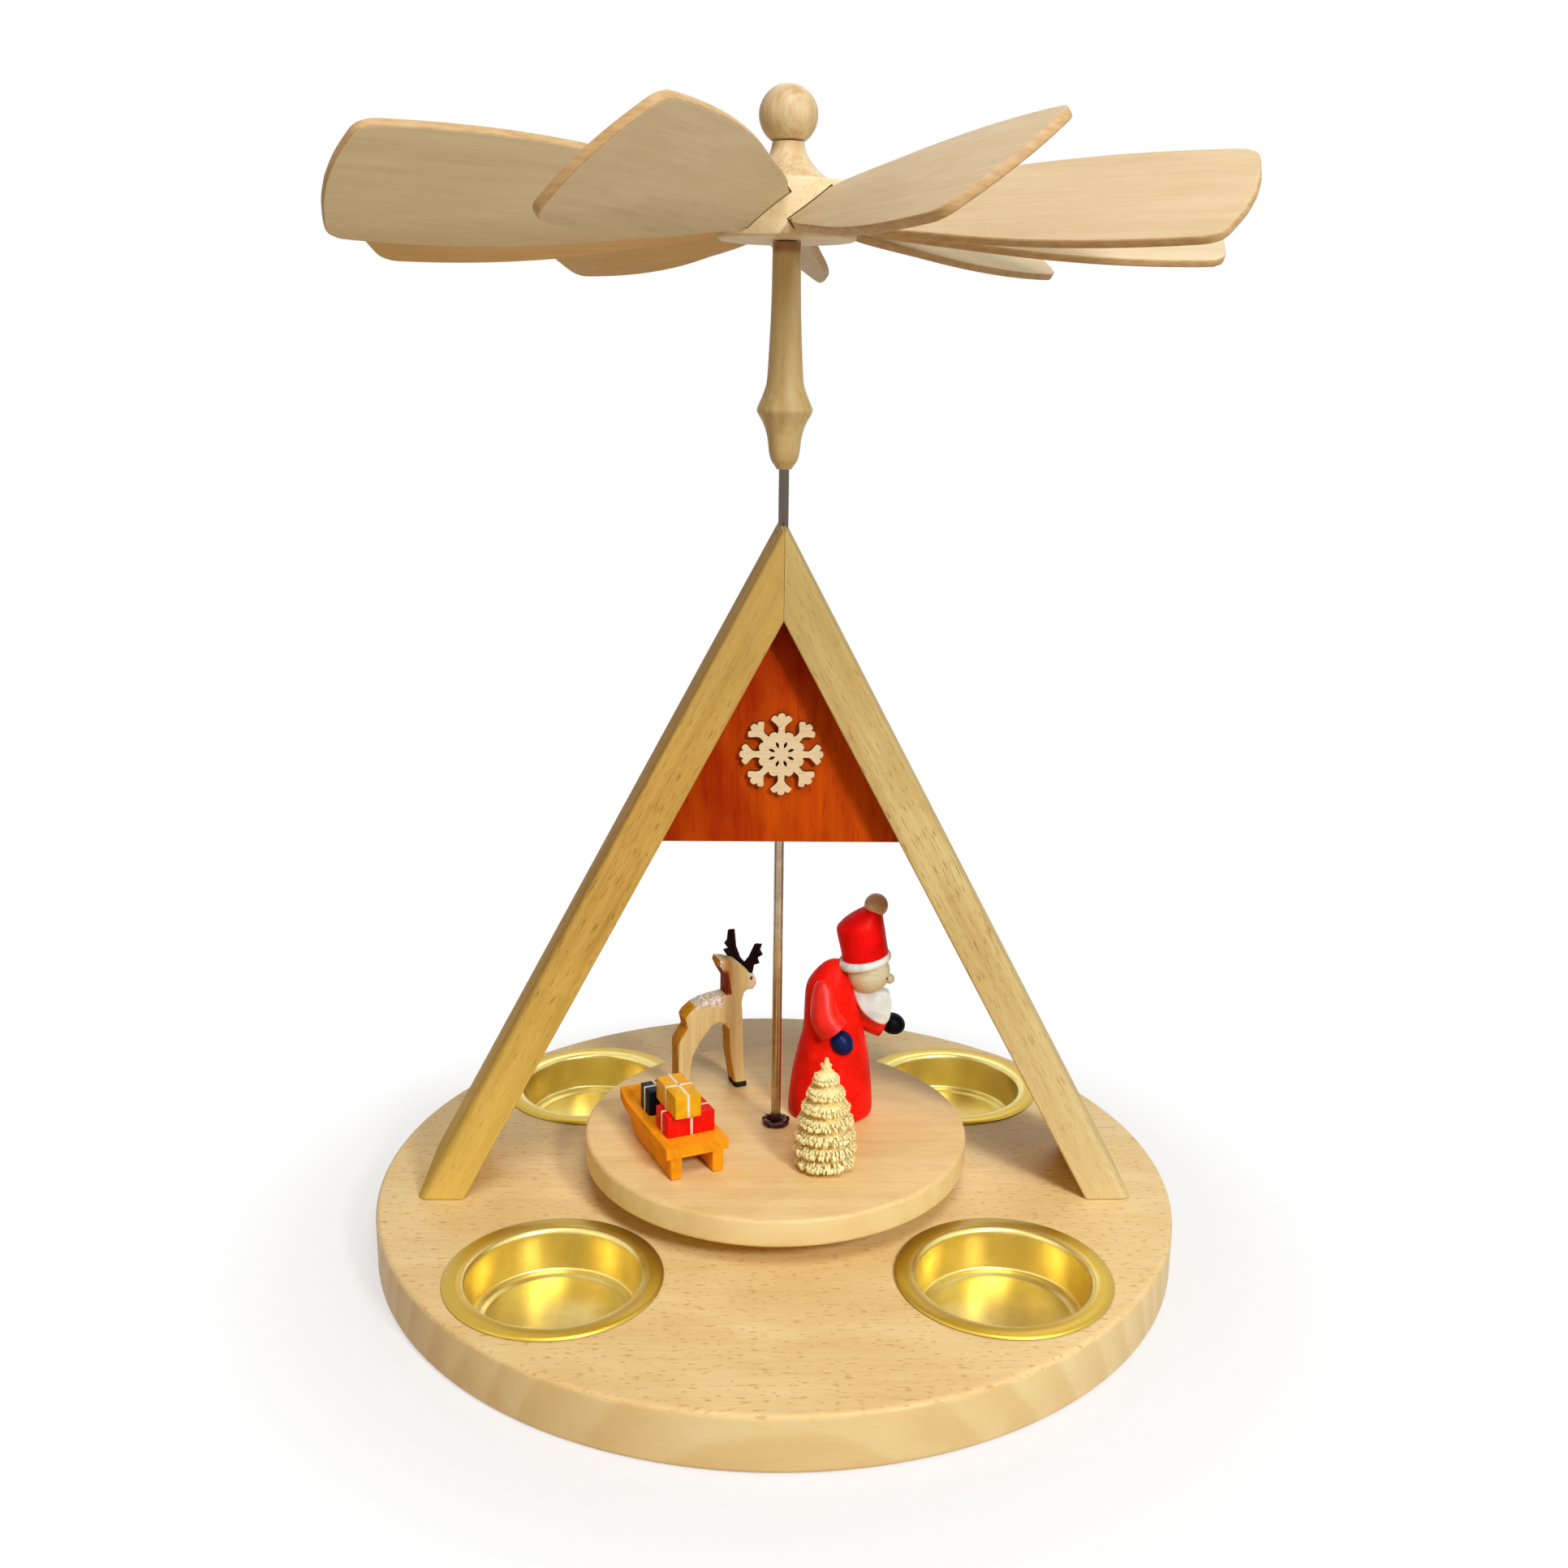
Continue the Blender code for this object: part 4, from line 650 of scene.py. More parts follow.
def build_wheel():
    pale = wood("spindle_wood", (84, 76, 56), (72, 60, 36), PALE_FLECK, ALONG_Z, flecks=0.15,
                fleck_size=(2.5, 0.4), streaks=0.5, roughness=0.42, seed=2.9)
    # Painted shade: the spindle is painted dark just below the hub.
    painted_shade_under_hub = pale.remap(pale.axes()[2], HUB_BOTTOM - 0.0034, HUB_BOTTOM - 0.0016, 0, 0.7)
    pale.cover(painted_shade_under_hub, (52, 26, 9))
    percent = ((0, 27), (1.8, 36), (3.9, 47), (7.5, 55), (11.8, 59), (16.2, 65), (20.6, 77),
               (24.1, 92), (25.6, 98.5), (26.8, 100), (28.1, 97.5), (29.4, 93), (33.8, 78.5),
               (38.2, 67.5), (43, 63.5), (55.7, 58), (73.2, 52.5), (100, 49.5))
    shoulder = HUB_BOTTOM - FIT
    length = shoulder - SPINDLE_BOTTOM
    bore_top = SHAFT_TOP + FIT
    tenon_top = HUB_BOTTOM + 0.009
    profile = [(0, bore_top), (0.0014, bore_top), (0.0014, SPINDLE_BOTTOM),
               *[(SPINDLE_RADIUS * wide / 100, SPINDLE_BOTTOM + length * up / 100)
                 for up, wide in smooth_line(percent, 3)],
               (TENON_RADIUS, shoulder), (TENON_RADIUS, tenon_top), (0, tenon_top)]
    add_piece("turned_spindle", spin(profile, 64), [pale], "spindle",
              body="wing_wheel")
    hub_wood = wood("hub_wood", (93, 87, 74), (84, 74, 54), PALE_FLECK, flecks=0.25,
                    fleck_size=(0.6, 0.6), roughness=0.5, seed=3.1)
    hub = add_piece("turned_hub", spin(disc(HUB_RADIUS, HUB_BOTTOM, HUB_TOP, 0.0007), 96),
                    [hub_wood], "wing_hub", body="wing_wheel")
    slots = [(block((0.0106, -0.0063, -0.0013), (0.0175, 0.0063, 0.0013), 0.0002, 1),
              blade_matrix(index)) for index in range(BLADES)]
    carve(hub, *slots, (bore(TENON_RADIUS + FIT, 0.24, 0.255, 24), Matrix()))
    build_blades()
    build_finial()


def blade_matrix(index):
    return (placed(0, 0, HUB_MIDDLE, BLADE_START + 2 * math.pi / BLADES * index)
            @ Matrix.Rotation(BLADE_PITCH, 4, 'X'))


def build_blades():
    shares = ((0.155, 0.375), (0.2, 0.5), (0.28, 0.61), (0.37, 0.71), (0.47, 0.83),
              (0.57, 0.92), (0.68, 0.98), (0.8, 1.0), (0.925, 0.975), (0.956, 0.93),
              (0.974, 0.84), (0.985, 0.64), (0.996, 0.33), (1.0, 0.0))
    edge = [(0.0109, 0.006), *[(BLADE_REACH * out, BLADE_HALF_WIDTH * wide)
                               for out, wide in smooth_line(shares, 3)]]
    outline = edge + [(x, -y) for x, y in reversed(edge[:-1])]
    rim = Look("blade_edge", 0.6)
    rim.speckle((300, 300, 1500), 3.0, (79, 67, 49), (73, 59, 40), (0.3, 0.7))
    # Each blade has its own tone, partly wood variation and partly painted light and shade for
    # where it sits in the rest pose; the last two, at the back left, are painted more orange-brown
    # as painted shade.
    board_tones_and_shade = [((88, 84, 73), (80, 73, 58)), ((88, 85, 75), (80, 74, 61)),
              ((85, 77, 64), (76, 66, 50)), ((86, 77, 63), (77, 66, 49))]
    board_tones_and_shade += [((88, 81, 68), (79, 70, 54))] * 3 + [((93, 81, 60), (84, 70, 47))] * 2
    for index, (light, dark) in enumerate(board_tones_and_shade):
        matrix = blade_matrix(index)
        face = wood(f"blade_wood_{index + 1}", light, dark, (68, 54, 38),
                    matrix.inverted().to_euler(), flecks=0.15, fleck_size=(6, 0.6),
                    fleck_share=0.66, mottle=0.25, streaks=0.2, roughness=0.6, shine=0.2,
                    seed=5 + index * 0.9)
        bm = plate(outline, -BLADE_THICKNESS / 2, BLADE_THICKNESS / 2, 0.00045,
                   keep=lambda edge: edge.verts[0].co.x > 0.0135)
        for item in bm.faces:
            item.material_index = 0 if abs(item.normal.y) > 0.9 else 1
        lying = matrix @ Matrix.Rotation(math.pi / 2, 4, 'X')
        bmesh.ops.transform(bm, verts=bm.verts, matrix=lying)
        add_piece(f"blade_{index + 1}", bm, [face, rim], f"wing_{index + 1}",
                  body="wing_wheel")


def build_finial():
    turned = wood("ball_wood", (87, 80, 65), (76, 62, 43), PALE_FLECK, ALONG_Z, flecks=0.25,
                  fleck_size=(2, 0.3), rings=0.18, ring_step=0.0013, ring_lean=0.5, streaks=0.5,
                  roughness=0.42, seed=4.4)
    foot = HUB_TOP + FIT
    height = 0.0082
    neck = foot + height
    shares = ((0, 1), (0.06, 1), (0.12, 0.93), (0.28, 0.62), (0.5, 0.32), (0.75, 0.09), (1, 0))
    profile = [(0, foot - 0.0024), (TENON_RADIUS, foot - 0.0024), (TENON_RADIUS, foot),
               *[(0.0035 + 0.0054 * wide, foot + height * up)
                 for up, wide in smooth_line(shares)],
               (0.0012, neck), (0.0012, neck + 0.003), (0, neck + 0.003)]
    seat = neck + FIT
    flat = 0.0038
    centre = seat + math.sqrt(BALL_RADIUS ** 2 - flat ** 2)
    start = -math.degrees(math.acos(flat / BALL_RADIUS))
    knob = [(0, neck + 0.0033), (0.0015, neck + 0.0033), (0.0015, seat),
            *arc(0, centre, BALL_RADIUS, start, 89, 40), (0, centre + BALL_RADIUS)]
    for name, line, node in (("finial_foot", profile, "finial_base"),
                             ("finial_knob", knob, "finial_ball")):
        add_piece(name, spin(line, 64), [turned], node, body="wing_wheel")


GIVER = placed(0.0143, 0.008, DECK)
COAT_RADIUS = 0.0109
COAT_HEIGHT = 0.0415
HEAD = Vector((0.0089, 0, 0.0382))
HEAD_RADIUS = 0.0057


def limb(points):
    """A round limb through (x, y, z, radius), ended by a flat cut with a broken edge."""
    line = smooth_line(points, 8)
    rings = []
    for index, (*centre, radius) in enumerate(line):
        before = Vector(line[max(index - 1, 0)][:3])
        after = Vector(line[min(index + 1, len(line) - 1)][:3])
        along = (after - before).normalized()
        across = along.cross(Vector((0, 1, 0))).normalized()
        other = along.cross(across)
        last = index == len(line) - 1
        for wide, ahead in ((1.0, -0.0002), (0.95, 0.0)) if last else ((1.0, 0.0),):
            rings.append([Vector(centre) + along * ahead
                          + wide * radius * (math.cos(turn) * across + math.sin(turn) * other)
                          for turn in around(32)])
    return skin(rings)


def on_head(aside, up, proud):
    """A place on the head's surface, its angles in degrees from straight ahead."""
    turn, rise = math.radians(aside), math.radians(up)
    place = HEAD + (HEAD_RADIUS + proud) * Vector((
        math.cos(turn) * math.cos(rise), math.sin(turn) * math.cos(rise), math.sin(rise)))
    return GIVER @ placed(*place)


def build_giver(ink):
    red = paint("coat_red", (98, 11, 6), (99, 34, 26), 0.4, 0.06, 0.25)
    # The sleeve paint has more and paler pink worn patches: partly wear, partly a painted
    # highlight.
    sleeve_paint_with_sheen = paint("sleeve_red_worn_and_sheen", (98, 12, 7), (100, 46, 40), 0.34, 0.4, 0.55)
    crimson = paint("hat_red", (96, 4, 3), (98, 30, 22), 0.45, 0.1, 0.2)
    white = paint("fur_white", (94, 98, 99), (90, 91, 88), 0.45, 0.1, 0.3)
    blue = paint("mitten_blue", (2, 10, 34), (16, 32, 58), 0.35, 0.15, 0.4)
    # Painted shade: the far mitten is a near-black copy of the blue mitten paint.
    navy_painted_shade = paint("mitten_navy_painted_shade", (2, 2, 6), (10, 12, 22), 0.4, 0.06, 0.4)
    face = wood("face_wood", (89, 87, 76), (82, 76, 60), (76, 62, 38), fleck_size=(1.6, 0.4),
                mottle=0.4, streaks=0.5, roughness=0.5, seed=6.1)
    shares = ((0, 0, 0.945), (0.012, 0, 0.99), (0.05, 0.002, 0.998), (0.14, 0.005, 0.975),
              (0.253, 0.014, 0.931), (0.42, 0.03, 0.826), (0.554, 0.035, 0.71),
              (0.7, -0.02, 0.63), (0.83, -0.05, 0.56), (0.91, -0.01, 0.43), (0.97, 0.04, 0.26),
              (0.994, 0.055, 0.1))
    rings = []
    for up, lean, wide in smooth_line(shares, 3):
        reach = COAT_RADIUS * wide
        rings.append([(COAT_RADIUS * lean + reach * math.cos(turn),
                       0.94 * reach * math.sin(turn), COAT_HEIGHT * up) for turn in around(64)])
    rings.append([(COAT_RADIUS * 0.06, 0, COAT_HEIGHT)])
    add_piece("giver_robe", skin(rings), [red], "giver_coat", GIVER)
    add_piece("giver_face", ball((HEAD_RADIUS,) * 3, 48, 30), [face], "giver_head",
              GIVER @ placed(*HEAD))
    add_piece("giver_nose_tip", ball((0.0013,) * 3, 28, 18), [face], "giver_nose",
              on_head(0, -20, 0.0003))
    for side, name in ((-1, "near"), (1, "far")):
        add_piece(f"giver_eye_{name}", ball((0.0004,) * 3, 16, 10), [ink], None,
                  on_head(34 * side, -8, -0.0001))
    build_hat(crimson, white)
    build_beard(white)
    build_arms(sleeve_paint_with_sheen, blue, navy_painted_shade)


def build_hat(red, white):
    tilt = (GIVER @ placed(HEAD.x - 0.0002, 0, HEAD.z)
            @ Matrix.Rotation(math.radians(-12.5), 4, 'Y'))
    rise = 0.0021
    high = 0.0024
    half = high / 2
    radius = 0.0069
    ring = [(0, rise), (radius - half * 0.9, rise),
            *arc(radius - half * 0.95, rise + half, half * 0.98, -85, 85, 12),
            (radius - half, rise + high), (0, rise + high)]
    add_piece("hat_fur", spin(ring, 64), [white], "giver_hat_brim", tilt)
    slopes = ((2.4, 41.2, 14.1, 43.7, 6.1), (1.9, 44, 13.5, 46.6, 6.2),
              (1.3, 46.5, 13.1, 49.2, 6.1), (0.8, 48.8, 12.7, 51.3, 5.9),
              (0.8, 49.9, 12.5, 52.5, 5.6), (1.4, 50.8, 12.3, 53.6, 5.1),
              (2.6, 52, 12, 54.6, 4.4), (4.3, 53.3, 11.7, 55.3, 3.4),
              (6.2, 54.5, 11.2, 55.8, 2.3), (7.9, 55.3, 10.6, 55.9, 1.2))
    rings = []
    for slope_in_mm in smooth_line(slopes, 3):
        left, left_up, right, right_up, deep = [value / 1000 for value in slope_in_mm]
        rings.append([((left + right) / 2 - (left - right) / 2 * math.cos(turn),
                       deep * math.sin(turn),
                       (left_up + right_up) / 2 - (left_up - right_up) / 2 * math.cos(turn))
                      for turn in around(48)])
    rings.append([(0.0094, 0, 0.0559)])
    add_piece("hat_crown", skin(rings), [red], "giver_hat", GIVER)
    turned = wood("bobble_wood", (93, 85, 76), (80, 65, 50), (50, 30, 14), ALONG_Y,
                  fleck_size=(2, 0.4), mottle=0.6, streaks=0.5, seed=3.7)
    add_piece("hat_ball", ball((0.003,) * 3, 40, 24), [turned], "giver_hat_bobble",
              tilt @ placed(0.0057, 0, rise + high + FIT + 0.0121))


def build_beard(white):
    shares = ((-0.06, 1), (0.02, 0.68), (0.15, 0.4), (0.3, 0.22), (0.55, 0.03), (0.82, -0.06),
              (0.98, 0.06), (1.03, 0.34), (1.02, 0.6), (0.94, 0.8), (0.66, 0.86), (0.3, 0.96))
    outline = [(0.0055 + 0.0093 * along, 0.0248 + 0.01 * up)
               for along, up in smooth_line(shares, 3, True)]
    add_piece("giver_beard_paint", plate(outline, -0.0023, 0.0023, 0.0011, 4), [white],
              "giver_beard", GIVER)


def build_arms(red, blue, navy_painted_shade):
    arms = (("near", blue, 0.0, ((-0.23, -0.3, 0.885, 0.17), (-0.22, -0.4, 0.83, 0.27),
                                 (-0.18, -0.57, 0.68, 0.35), (0.03, -0.62, 0.595, 0.38))),
            # The far mitten wears the painted-shade copy.
            ("far", navy_painted_shade, 0.0012, ((0, 0.34, 0.78, 0.22), (0.36, 0.4, 0.69, 0.34),
                                   (0.9, 0.44, 0.59, 0.4), (1.28, 0.44, 0.548, 0.42))))
    size = 0.0028
    length = size * 1.2
    for name, glove, dip, shares in arms:
        points = [(COAT_RADIUS * forward, COAT_RADIUS * aside, COAT_HEIGHT * up,
                   COAT_RADIUS * wide) for forward, aside, up, wide in shares]
        add_piece(f"giver_arm_{name}", limb(points), [red], f"giver_sleeve_{name}",
                  GIVER)
        wrist = Vector(points[-1][:3])
        along = (wrist - Vector(points[-2][:3])).normalized()
        place = GIVER @ placed(*(wrist + along * (length + FIT - dip)))
        turn = along.to_track_quat('Z', 'Y').to_matrix().to_4x4()
        add_piece(f"giver_hand_{name}", ball((size, size, length), 36, 24), [glove],
                  f"giver_mitten_{name}", place @ turn)


DEER = placed(-0.0109, 0.0232, DECK, math.radians(22))
DEER_HEIGHT = 0.0369


def build_deer(ink):
    grain = {"turn": ALONG_Z, "fleck_size": (2.2, 0.4), "mottle": 0.4, "streaks": 0.5}
    sides = wood("deer_wood", (94, 87, 66), (84, 73, 48), (68, 52, 30), flecks=0.25,
                 roughness=0.48, seed=7.7, **grain)
    x, y, z = sides.axes()
    cheek = sides.ramps((x, 0.0022, 0.0034), (z, 0.0265, 0.0285))
    sides.cover(sides.times(cheek, 0.6), (94, 88, 76))
    neck = sides.ramps((x, -0.001, -0.0024), (z, 0.0275, 0.031))
    sides.cover(sides.times(neck, 0.7), (82, 56, 20))
    lean = sides.plus(x, sides.times(z, 0.16))
    nape = sides.ramps((lean, 0.0028, 0.0024), (z, 0.0266, 0.0272), (z, 0.0345, 0.033))
    sides.cover(nape, (50, 18, 7))
    low = sides.plus(z, sides.times(x, 0.12))
    back = sides.ramps((low, 0.0222, 0.0245), (x, -0.015, -0.0128), (x, -0.0032, -0.005))
    speck = sides.remap(sides.noise(sides.place, (1500, 1500, 1500)), 0.44, 0.54)
    sides.cover(sides.times(back, 0.45), (66, 56, 52))
    sides.cover(sides.times(speck, back), (95, 93, 92))
    # Painted shade: faces turned towards the back get a darker, more orange copy of the wood; it
    # also carries the painted nape stripe and hooves.
    shaded_backs = wood("deer_back_edge_shaded", (90, 64, 16), (76, 49, 9), (50, 28, 7), roughness=0.55,
                 shine=0.06, seed=9.7, **grain)
    height = shaded_backs.axes()[2]
    shaded_backs.cover(shaded_backs.ramps((height, 0.0262, 0.027), (height, 0.0352, 0.0342)), (54, 16, 4))
    for look in (sides, shaded_backs):
        look.cover(look.remap(look.axes()[2], 0.0016, 0.0013), (7, 5, 6))
    percent = ((-45.5, 0), (-36, 0), (-35.2, 21.4), (-33.9, 28.5), (-28.2, 39), (-19.8, 49.1),
               (-15, 51.5), (-10.5, 50), (-6.8, 45.5), (-6, 26.6), (-1.5, 0), (8.1, 0),
               (6.5, 10), (5.1, 27.6), (4.6, 45.3), (4.1, 56.9), (3.5, 65.6), (5.4, 72.4),
               (7.6, 74), (12.2, 74), (14.9, 77.5), (14.4, 81.8), (12.5, 85.6), (8.7, 87.5),
               (7, 90), (0.5, 95.9), (-8.1, 99.2), (-13.8, 100), (-14.9, 96.7), (-12.2, 90.8),
               (-8.4, 84.3), (-8.4, 72.5), (-19.5, 71), (-25.7, 69.9), (-32.2, 67.2),
               (-37.9, 62.9), (-40.4, 59.3), (-38.8, 51.5), (-42.3, 46.1), (-45.5, 40.7))
    outline = [(DEER_HEIGHT * along / 100, DEER_HEIGHT * up / 100) for along, up in percent]
    bm = plate(outline, -0.0029, 0.0029, 0.0009, 4,
               lambda edge: max(vert.co.z for vert in edge.verts) > FIT)
    deer = add_piece("deer_figure", bm, [sides, shaded_backs], "reindeer_body", DEER)
    carve(deer, (block((-0.03, -0.0006, -0.002), (0.03, 0.0006, 0.0135), 0.0002, 1), DEER))
    # Faces that point backwards take the painted-shade copy.
    for face in deer.data.polygons:
        face.material_index = 1 if face.normal.x < -0.45 and abs(face.normal.y) < 0.75 else 0
    build_antlers()
    for side, name in ((-1, "near"), (1, "far")):
        add_piece(f"deer_eye_{name}", ball((0.00045, 0.0003, 0.0006), 16, 10), [ink], None,
                  DEER @ placed(0.0037, side * 0.0028, 0.0307))


def build_antlers():
    stain = Look("antler_stain", 0.6, shine=0.05)
    stain.bump(stain.speckle((900, 900, 200), 3.0, (6, 2, 3), (18, 6, 6)), 0.2, 0.0001)
    left = ((-12, -9), (6.5, -6), (-3.5, 16), (-16, 23), (-29, 46), (-34, 86), (-48, 82),
            (-51, 59), (-60, 48), (-48, 39), (-63, 32), (-46, 16), (-19, 5))
    right = ((9.5, -6), (22, -3), (26, 17), (42, 24), (37, 36), (52, 47), (44, 57), (50, 72),
             (33, 69), (28, 59), (16, 36), (-0.5, 16))
    percent = DEER_HEIGHT * 0.00322
    place = DEER @ placed(DEER_HEIGHT * 0.079, 0, DEER_HEIGHT * 0.875, -math.radians(65))
    for name, points in (("left", left), ("right", right)):
        bm = plate([(percent * along, percent * up) for along, up in points], -0.0006, 0.0006,
                   0.0002, 2)
        add_piece(f"deer_antler_{name}", bm, [stain], f"reindeer_antler_{name}",
                  place)


TREE = placed(0.0114, -0.023, DECK)
TREE_HEIGHT = 0.0282
TREE_RADIUS = 0.0076
SHAVING = 0.00014


def curl(bm, turn, height, start, reach, width, roll, drop, lean):
    """One shaving: it leaves the trunk, sags outwards and rolls up at its end."""
    outward = Vector((math.cos(turn), math.sin(turn), 0))
    across = Vector((-math.sin(turn), math.cos(turn), 0))
    line = [(start + (reach - roll - start) * t, height - drop * t * t)
            for t in (0, 0.2, 0.4, 0.6, 0.8)]
    for step in range(11):
        angle = -math.pi / 2 + step / 10 * math.radians(400)
        size = roll * (1 - 0.6 * step / 10)
        line.append((reach - roll + size * math.cos(angle),
                     height - drop + roll + size * math.sin(angle)))
    rings = []
    for index, (out, up) in enumerate(line):
        run, rise = slope(line, index)
        half = width / 2 * (1 - 0.4 * index / len(line))
        drift = lean * (out - start)
        ring = []
        for away, wide in ((1, -1), (1, 1), (-1, 1), (-1, -1)):
            proud = SHAVING * away / 2
            point = outward * (out - rise * proud) + across * (half * wide + drift)
            point.z = up + run * proud
            ring.append(point)
        rings.append(ring)
    skin(rings, bm)


def build_tree():
    grain = {"turn": ALONG_Z, "fleck_size": (1.2, 0.4), "mottle": 0.5}
    shaving = wood("shaving_wood", (100, 98, 81), (100, 93, 67), (84, 68, 40), flecks=0.15,
                   roughness=0.6, shine=0.15, seed=8.8, **grain)
    # Painted shade: the core between the tiers is painted a little darker than the shavings.
    deep = wood("tree_core_wood_shaded", (100, 95, 72), (98, 87, 56), (78, 62, 38), flecks=0.2,
                streaks=0.5, roughness=0.7, shine=0.1, seed=8.1, **grain)
    chance = random.Random(11)
    tiers = (0.96, 1.0, 0.97, 0.9, 0.78, 0.63, 0.45)
    step = TREE_HEIGHT / (len(tiers) + 1)
    trunk = [(0, 0), (0.0034, 0)]
    for tier, share in enumerate(tiers):
        low = step * tier
        wide = TREE_RADIUS * share
        trunk += [(wide * 0.6, low + 0.0004), (wide * 0.7, low + step * 0.45),
                  (wide * 0.62, low + step * 0.85), (wide * 0.46, low + step * 0.99)]
    trunk += [(0.0008, TREE_HEIGHT * 0.94), (0.0004, TREE_HEIGHT), (0, TREE_HEIGHT)]
    add_piece("tree_core", spin(trunk, 48), [deep], None, TREE)
    bm = bmesh.new()
    for tier, share in enumerate(tiers):
        reach = TREE_RADIUS * share
        base = step * tier + 0.0014
        for layer, (lift, size) in enumerate(((0.0, 1.0), (0.0009, 0.9))):
            count = max(14, round(2 * math.pi * reach * size / 0.00066))
            for index in range(count):
                turn = (2 * math.pi * (index + 0.5 * ((tier + layer) % 2)) / count
                        + chance.uniform(-0.03, 0.03))
                roll = step * (0.22 - 0.02 * tier) * chance.uniform(0.85, 1.15)
                curl(bm, turn, base + step * 0.35 + lift + chance.uniform(-0.00015, 0.00015),
                     0.0012, reach * size * chance.uniform(0.93, 1.04),
                     0.00056 * chance.uniform(0.85, 1.1), roll,
                     step * 0.45 * chance.uniform(0.92, 1.05), chance.uniform(-0.12, 0.12))
    for index in range(22):
        turn = 2 * math.pi * index / 11 + chance.uniform(-0.2, 0.2)
        rise, reach = (7.0, 0.0024) if index < 11 else (7.5, 0.0014)
        curl(bm, turn, step * rise + chance.uniform(-0.0004, 0.0004), 0.0004,
             reach * chance.uniform(0.7, 1.1), 0.0005, 0.00035, 0.0006,
             chance.uniform(-0.3, 0.3))
    add_piece("tree_curls", bm, [shaving], "shaved_tree", TREE)


SLED = placed(-0.0264, -0.031, DECK, math.radians(23.6))
SLED_WIDTH = 0.016
SEAT_TOP = 0.0082
SEAT_BOTTOM = 0.0054
RUNNER_WIDTH = 0.0029
RUNNER_INSET = 0.0012
RESTING = 0.00005


def build_sled():
    orange = paint("sled_orange", (100, 64, 10), (100, 78, 38), 0.42, 0.06, 0.4)
    bend = ((0, 0), (0.028, 0), (0.0305, 0.0005), (0.033, 0.0018))
    side = [(along, SEAT_BOTTOM + up) for along, up in bend]
    side += [(along, SEAT_TOP + up) for along, up in reversed(bend)]
    top = SEAT_BOTTOM - RESTING
    runner = [(0.0003, 0), (0.0254, 0), (0.0275, top * 0.22), (0.029, top * 0.6), (0.029, top),
              (0.0003, top)]
    far = SLED_WIDTH - RUNNER_INSET - RUNNER_WIDTH
    for name, outline, start, width, node in (
            ("sled_board", side, 0, SLED_WIDTH, "sled_seat"),
            ("sled_side_left", runner, RUNNER_INSET, RUNNER_WIDTH, "sled_runner_left"),
            ("sled_side_right", runner, far, RUNNER_WIDTH, "sled_runner_right")):
        add_piece(name, plate(outline, -start - width, -start, 0.0003), [orange], node,
                  SLED @ Matrix.Rotation(math.pi / 2, 4, 'Z'), sharp=30)
    build_gifts()


def build_gifts():
    ribbon = paint("ribbon_white", (97, 94, 88), (92, 82, 70), 0.4, 0.1, 0.2)
    stand = SEAT_TOP + RESTING
    red_high = 0.34
    gifts = (("red", (97, 8, 5), (98, 36, 26), (0.14, 0.31, 0.76, 0.5, red_high), stand),
             ("yellow", (97, 72, 10), (100, 84, 42), (0.22, 0.19, 0.41, 0.82, 0.36),
              stand + SLED_WIDTH * red_high + RESTING),
             ("blue", (5, 7, 14), (22, 27, 40), (0.15, 1.13, 0.4, 0.39, 0.4), stand))
    thick = 0.00012
    half = 0.00035
    for name, colour, worn, shares, bottom in gifts:
        x, y, wide, deep, high = [SLED_WIDTH * share for share in shares]
        look = paint(f"gift_{name}_paint", colour, worn, 0.4)
        add_piece(f"parcel_{name}", block((x, y, bottom), (x + wide, y + deep, bottom + high)),
                  [look], f"gift_{name}", SLED)
        middle_x = x + wide / 2
        middle_y = y + deep / 2
        top = bottom + high + thick
        bands = (((middle_x - half, y - thick), (middle_x + half, y + deep + thick)),
                 ((x - thick, middle_y - half), (x + wide + thick, middle_y + half)))
        for index, (low, far) in enumerate(bands):
            band = block((*low, bottom + 0.0001), (*far, top), 0.0001, 2)
            add_piece(f"ribbon_{name}_{index + 1}", band, [ribbon], None, SLED)


def dress_hidden_metal():
    """Better materials on the small metal parts that keep their CAD shape."""
    brass = metal("turned_brass", (80, 62, 32), (70, 52, 24), 0.3)
    zinc = metal("zinc_plate", (72, 72, 70), (58, 58, 57), 0.35)
    for name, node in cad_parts.items():
        if name.startswith(("leg_screw", "bearing_cup", "apex_bush")):
            look = zinc if name.startswith("leg_screw") else brass
            node.data.materials.clear()
            node.data.materials.append(look.material)


def direct_rays(tree):
    """1 for what the camera, a reflection or a see-through piece shows, and for the camera."""
    path = add_node(tree, "ShaderNodeLightPath").outputs
    either = path["Is Camera Ray"]
    for name in ("Is Glossy Ray", "Is Transmission Ray"):
        either = add_node(tree, "ShaderNodeMath", {0: either, 1: path[name]},
                          operation='MAXIMUM').outputs["Value"]
    return either, path["Is Camera Ray"]


